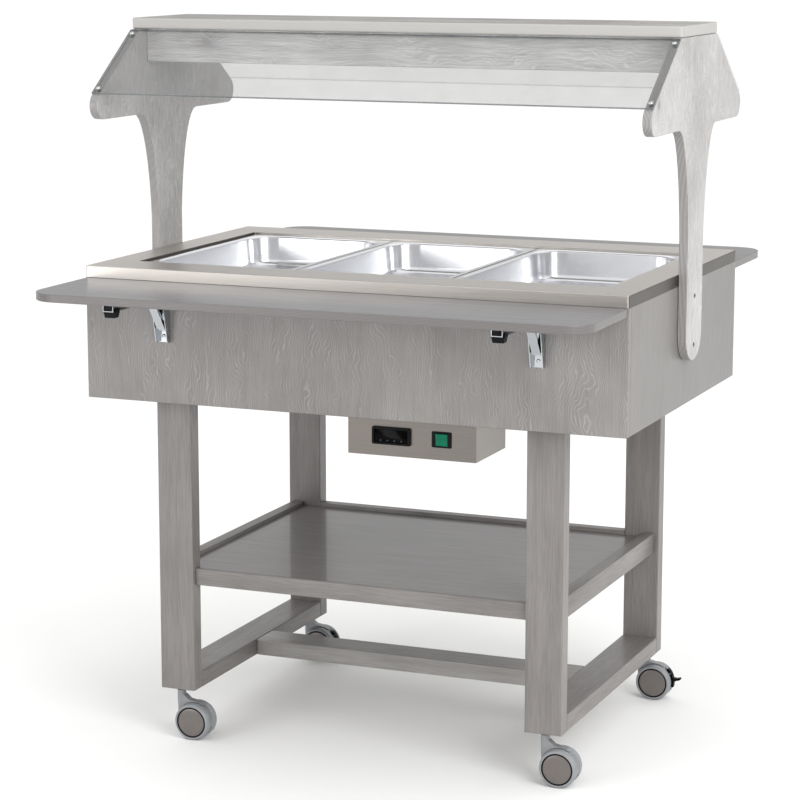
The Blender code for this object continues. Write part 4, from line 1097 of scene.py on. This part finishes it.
@dataclass
class TrayShelf(SubAssembly):
    """A fold-down tray shelf with its two brackets."""

    end: str = "front"
    seed: float = 40.0
    pin_radius: float = 2.2 * MM
    pin_proud: float = 0.9 * MM
    cabinet_face: float = 367 * MM
    arm_pivot: Point2 = (394 * MM, 915.7 * MM)
    strut_pivot: Point2 = (378.5 * MM, 848 * MM)
    screw_height: float = 832 * MM
    web: float = 1.8 * MM
    arm_depth: float = 13 * MM

    def build(self) -> None:
        """Makes the pins and the wall screws of both brackets."""
        sign = -1 if self.end == "front" else 1
        screw = Screw(radius=3.8 * MM, height=1.8 * MM, socket=1.9 * MM, sides=4).mesh(f"bracket_screw_{self.end}")
        for side in SIDES:
            low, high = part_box(f"wall_channel_{self.end}_{side}")
            middle, half = (low.x + high.x) / 2, (high.x - low.x) / 2
            label = f"{self.end}_{side}"
            spot = Matrix.Translation((middle, sign * (self.cabinet_face + self.web), self.screw_height))
            set_down(f"bracket_screw_{label}", screw, ZINC, "table", spot @ facing((0, sign, 0)))
            for name, (out, up) in (("arm", self.arm_pivot), ("strut", self.strut_pivot)):
                length = half + self.pin_proud
                profile = [(self.pin_radius * 0.7, -length), (self.pin_radius, -length + 0.3 * MM),
                           (self.pin_radius, length - 0.3 * MM), (self.pin_radius * 0.7, length)]
                pin = to_mesh(turned(profile, 20), f"{name}_pin_{label}", 50.0)
                place = Matrix.Translation((middle, sign * out, up)) @ Matrix.Rotation(QUARTER, 4, "Y")
                set_down(f"{name}_pin_{label}", pin, ZINC, "table", place)
            self.arm_end(label, sign)

    def arm_end(self, label: str, sign: int) -> None:
        """Makes a rim of the brighter chrome at the arm's outer end, a painted highlight against the arm's painted
        shade, and a black piece inside it that stands in for the shade inside the arm's open end.

        Args:
            label: Which bracket, such as "front_left".
            sign: -1 at the front, 1 at the back.
        """
        low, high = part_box(f"arm_{label}")
        half_x, half_z = (high.x - low.x) / 2, self.arm_depth / 2
        wall, thick, start = 1.5 * MM, 1.1 * MM, 0.6 * MM
        out = (high.y if sign > 0 else low.y) - sign * start
        place = Matrix.Translation(((low.x + high.x) / 2, out, high.z - half_z))
        place = place @ Matrix.Rotation(-sign * QUARTER, 4, "X")
        inner_x, inner_z, chamfer = half_x - wall, half_z - wall, 0.3 * MM
        rim = [(half_x, half_z, start), (half_x, half_z, thick - chamfer),
               (half_x - chamfer, half_z - chamfer, thick), (inner_x, inner_z, thick), (inner_x, inner_z, start)]
        shade_plug = [(inner_x, inner_z, 0.1 * MM), (inner_x, inner_z, 0.5 * MM),
                (inner_x - chamfer, inner_z - chamfer, 0.7 * MM)]
        # The rim's brighter chrome is a painted highlight on the end's edges; the black piece is painted shade inside
        # the arm's open end.
        for name, rows, corner, finish, slot in (("rim", rim, 0.8 * MM, CHROME, "bracket_chrome"),
                                                 ("shade_plug", shade_plug, 0.5 * MM, BLACK_NYLON, "black_plastic")):
            made = stacked([(a, b, corner, z) for a, b, z in rows], 3, closed=name == "rim")
            set_down(f"arm_{name}_{label}", to_mesh(made, f"arm_{name}_{label}", 40.0), finish, f"{self.end}_tray",
                     place)

    def dress(self) -> None:
        """Gives the board its smooth lacquer and the brackets their chrome; the arms get the darker chrome, painted
        shade for the shadow under the tray.
        """
        dress(f"tray_{self.end}", StainedWood(f"birch_lacquered_tray_{self.end}", grain=Axis.X, edge_normal=Axis.Z,
                                              seed=self.seed, light="#727173", dark="#616062", edge="#5F5956",
                                              roughness=0.36, coat=0.28, coat_roughness=0.16, fibre_mm=3.0,
                                              fibre_length_mm=220.0))
        for side in SIDES:
            # The arms take the darker chrome: painted shade for the shadow under the tray.
            for part, finish in (("wall_channel", CHROME), ("arm", SHADED_CHROME), ("strut", CHROME)):
                dress(f"{part}_{self.end}_{side}", finish)
            dress(f"catch_{self.end}_{side}", BLACK_NYLON)


@dataclass
class Casters(SubAssembly):
    """Twin-wheel swivel casters with capped wheels; the back two have brakes."""

    wheel_steps: int = 64
    ring_radius: float = 31.4 * MM
    cap_radius: float = 28.6 * MM
    collar_radius: float = 10.2 * MM
    collar_height: float = 2.6 * MM
    trail: float = 31 * MM
    cap_seat: float = 1.4 * MM  # how far the cap's seat lies behind the wheel's rim
    wheel_gap: float = 6 * MM
    brake_angle: float = math.radians(30)
    brake_reach: float = 38 * MM
    brake_pin_half: float = 5.2 * MM

    def wheel_mesh(self, radius: float, inner: float, outer: float) -> bpy.types.Mesh:
        """Makes both wheels on their axle, turned about Z.

        Args:
            radius: The wheels' radius.
            inner: Distance from the middle to a wheel's inner face.
            outer: Distance from the middle to its outer face.

        Returns:
            The mesh.
        """
        side = [(4 * MM, inner), (radius - 5 * MM, inner), (radius - 1.2 * MM, inner + 0.5 * MM),
                (radius - 0.2 * MM, inner + 1.8 * MM), (radius, inner + 3.2 * MM), (radius, outer - 7.5 * MM),
                (radius - 0.25 * MM, outer - 5 * MM), (radius - 0.9 * MM, outer - 2.8 * MM),
                (radius - 2.1 * MM, outer - 1.1 * MM), (radius - 3.6 * MM, outer - 0.25 * MM),
                (radius - 5 * MM, outer), (radius - 5.6 * MM, outer - 0.2 * MM),
                (radius - 5.9 * MM, outer - self.cap_seat)]
        profile = [(r, -z) for r, z in reversed(side)] + side
        return to_mesh(turned(profile, self.wheel_steps), "caster_wheel_pair", 40.0)

    def build(self) -> None:
        """Makes wheels, rings, caps, collars and brake pins."""
        low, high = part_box("caster_wheels_front_left")
        radius, outer = (high.z - low.z) / 2, (high.y - low.y) / 2
        pair = self.wheel_mesh(radius, self.wheel_gap, outer)
        face = outer - self.cap_seat
        ring = to_mesh(turned_ring([(self.ring_radius, face - 0.5 * MM), (self.ring_radius, face + 0.9 * MM),
                                    (self.ring_radius - 0.5 * MM, face + 1.2 * MM),
                                    (self.cap_radius + 0.3 * MM, face + 1.0 * MM),
                                    (self.cap_radius, face + 0.4 * MM), (self.cap_radius, face - 0.5 * MM)],
                                   self.wheel_steps), "caster_ring", 40.0)
        cap = to_mesh(turned([(self.cap_radius, face - 0.3 * MM), (self.cap_radius, face + 0.5 * MM),
                              (self.cap_radius - 0.6 * MM, face + 0.95 * MM),
                              (self.cap_radius * 0.8, face + 1.15 * MM),
                              (self.cap_radius * 0.5, face + 1.25 * MM), (self.cap_radius * 0.2, face + 1.3 * MM)],
                             self.wheel_steps), "caster_cap", 40.0)
        for label in CORNERS:
            self.one(label, pair, ring, cap)

    def one(self, label: str, pair: bpy.types.Mesh, ring: bpy.types.Mesh, cap: bpy.types.Mesh) -> None:
        """Puts one caster together.

        Args:
            label: Which caster, such as "front_left".
            pair: Mesh of its wheels.
            ring: Mesh of the black ring.
            cap: Mesh of the cap.
        """
        low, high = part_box(f"caster_wheels_{label}")
        axle = Matrix.Translation((low + high) / 2)
        wheels, caster = f"{label}_wheels", f"{label}_caster"
        made = set_down(f"caster_pair_{label}", pair, SILVER_TREAD, wheels,
                        axle @ Matrix.Rotation(QUARTER, 4, "X"))
        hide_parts(f"caster_wheels_{label}")
        for name, turn in (("near", QUARTER), ("far", -QUARTER)):
            place = axle @ Matrix.Rotation(turn, 4, "X")
            set_down(f"caster_ring_{label}_{name}", ring, BLACK_NYLON, wheels, place)
            set_down(f"caster_cap_{label}_{name}", cap, CAP_PAINT, wheels, place)
        _, fork_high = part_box(f"caster_fork_{label}")
        stem = Matrix.Translation((axle.translation.x - self.trail, axle.translation.y,
                                   fork_high.z - self.collar_height))
        collar = turned([(self.collar_radius - 0.4 * MM, 0.0), (self.collar_radius, 0.4 * MM),
                         (self.collar_radius, self.collar_height - 0.3 * MM),
                         (self.collar_radius - 0.3 * MM, self.collar_height)])
        set_down(f"caster_collar_{label}", to_mesh(collar, f"caster_collar_{label}", 40.0), BLACK_NYLON, caster,
                 stem)
        if label.startswith("back"):
            angle, reach, half = self.brake_angle, self.brake_reach, self.brake_pin_half
            spot = axle @ Matrix.Translation((reach * math.cos(angle), 0.0, reach * math.sin(angle)))
            pin = turned([(1.2 * MM, -half), (1.4 * MM, -half + 0.2 * MM), (1.4 * MM, half - 0.2 * MM),
                          (1.2 * MM, half)], 16)
            set_down(f"brake_pin_{label}", to_mesh(pin, f"brake_pin_{label}", 50.0), ZINC, caster,
                     spot @ Matrix.Rotation(QUARTER, 4, "X"))

    def dress(self) -> None:
        """Dresses the forks and the brake levers."""
        for label in CORNERS:
            dress(f"caster_fork_{label}", SILVER_NYLON)
        for side in SIDES:
            dress(f"brake_lever_back_{side}", BLACK_NYLON)


# ---- studio ----
@dataclass
class Studio(SubAssembly):
    """A pale floor, soft lights and the camera."""

    camera_place: Point3 = (1.9480, -4.8260, 1.6235)
    yaw: float = math.radians(22.39)
    pitch: float = math.radians(-10.395)
    roll: float = math.radians(0.02)
    focal_mm: float = 116.6
    floor_reach: float = 60.0
    sky: float = 1.24
    horizon: float = 0.35
    wall: float = 1.0

    def camera(self) -> None:
        """Sets up the camera: a long lens, looking from the right of the front and slightly down."""
        ahead = Vector((-math.sin(self.yaw) * math.cos(self.pitch), math.cos(self.yaw) * math.cos(self.pitch),
                        math.sin(self.pitch)))
        right = Vector((math.cos(self.yaw), math.sin(self.yaw), 0.0))
        up = right.cross(ahead)
        across = right * math.cos(self.roll) + up * math.sin(self.roll)
        above = up * math.cos(self.roll) - right * math.sin(self.roll)
        data = bpy.data.cameras.new("studio_camera")
        data.sensor_fit = "HORIZONTAL"
        data.sensor_width = 36.0
        data.lens = self.focal_mm
        data.clip_end = 500.0
        camera = bpy.data.objects.new("studio_camera", data)
        bpy.context.collection.objects.link(camera)
        turn = Matrix((across, above, -ahead)).transposed().to_4x4()
        camera.matrix_world = Matrix.Translation(self.camera_place) @ turn
        bpy.context.scene.camera = camera

    def floor(self) -> None:
        """Lays the floor."""
        bm = bmesh.new()
        bmesh.ops.create_grid(bm, x_segments=8, y_segments=8, size=self.floor_reach)
        made = bpy.data.objects.new("studio_floor", to_mesh(bm, "studio_floor", None))
        made.data.materials.append(StudioFloor("board_painted_white").material())
        bpy.context.collection.objects.link(made)

    def light(self, name: str, place: Point3, target: Point3, size: Point2, power: float, tint: str) -> None:
        """Hangs a soft rectangular light.

        Args:
            name: The light's name.
            place: Where it hangs.
            target: What it points at.
            size: Its width and height.
            power: Its power in watts.
            tint: Its colour.
        """
        data = bpy.data.lights.new(name, "AREA")
        data.shape = "RECTANGLE"
        data.size, data.size_y = size
        data.energy = power
        data.color = linear(tint)[:3]
        lamp = bpy.data.objects.new(name, data)
        bpy.context.collection.objects.link(lamp)
        lamp.matrix_world = Matrix.Translation(place) @ (
            Vector(target) - Vector(place)).to_track_quat("-Z", "Y").to_matrix().to_4x4()

    def lights(self) -> None:
        """Hangs a large soft light at the right and a weaker one in front, in a room that is brightest overhead."""
        world = bpy.data.worlds.new("studio_room")
        world.use_nodes = True
        tree = world.node_tree
        up = add(tree, "SeparateXYZ", {0: add(tree, "TexCoord").outputs["Generated"]}).outputs["Z"]
        glow = add(tree, "MapRange", {"Value": up, "From Min": 0.0, "From Max": 0.55, "To Min": self.horizon,
                                      "To Max": self.sky}).outputs[0]
        seen = add(tree, "LightPath").outputs["Is Camera Ray"]
        wall = add(tree, "Mix", {0: seen, 2: glow, 3: self.wall}).outputs[0]  # the walls look pale all the way up
        fill(tree.nodes["Background"], tree, {"Color": (1.0, 1.0, 1.0, 1.0), "Strength": wall})
        bpy.context.scene.world = world
        self.light("key_right", (3.2, -2.4, 2.4), (0.3, 0.0, 0.9), (2.2, 2.2), 95.0, "#FFFFFF")
        self.light("strip_left", (-2.9, -5.0, 1.3), (-0.4, -0.3, 0.9), (1.6, 2.2), 48.0, "#FFFFFF")

    def build(self) -> None:
        """Builds the whole studio, with colours shown as they are."""
        self.floor()
        self.lights()
        self.camera()
        bpy.context.scene.view_settings.view_transform = "Standard"


def main() -> None:
    """Builds each sub-assembly in order, from the floor up, and then the studio."""
    logging.basicConfig(level=logging.INFO, format="%(name)s: %(message)s")
    parts = (TimberFrame(), LowShelf(), Cabinet(), Well(), Controls(), Canopy(), TrayShelf(end="front", seed=40.6),
             TrayShelf(end="back", seed=47.2), Casters(), Studio())
    for part in parts:
        log.info("%s", type(part).__name__)
        part.build()
        part.dress()


if __name__ == "__main__":
    main()
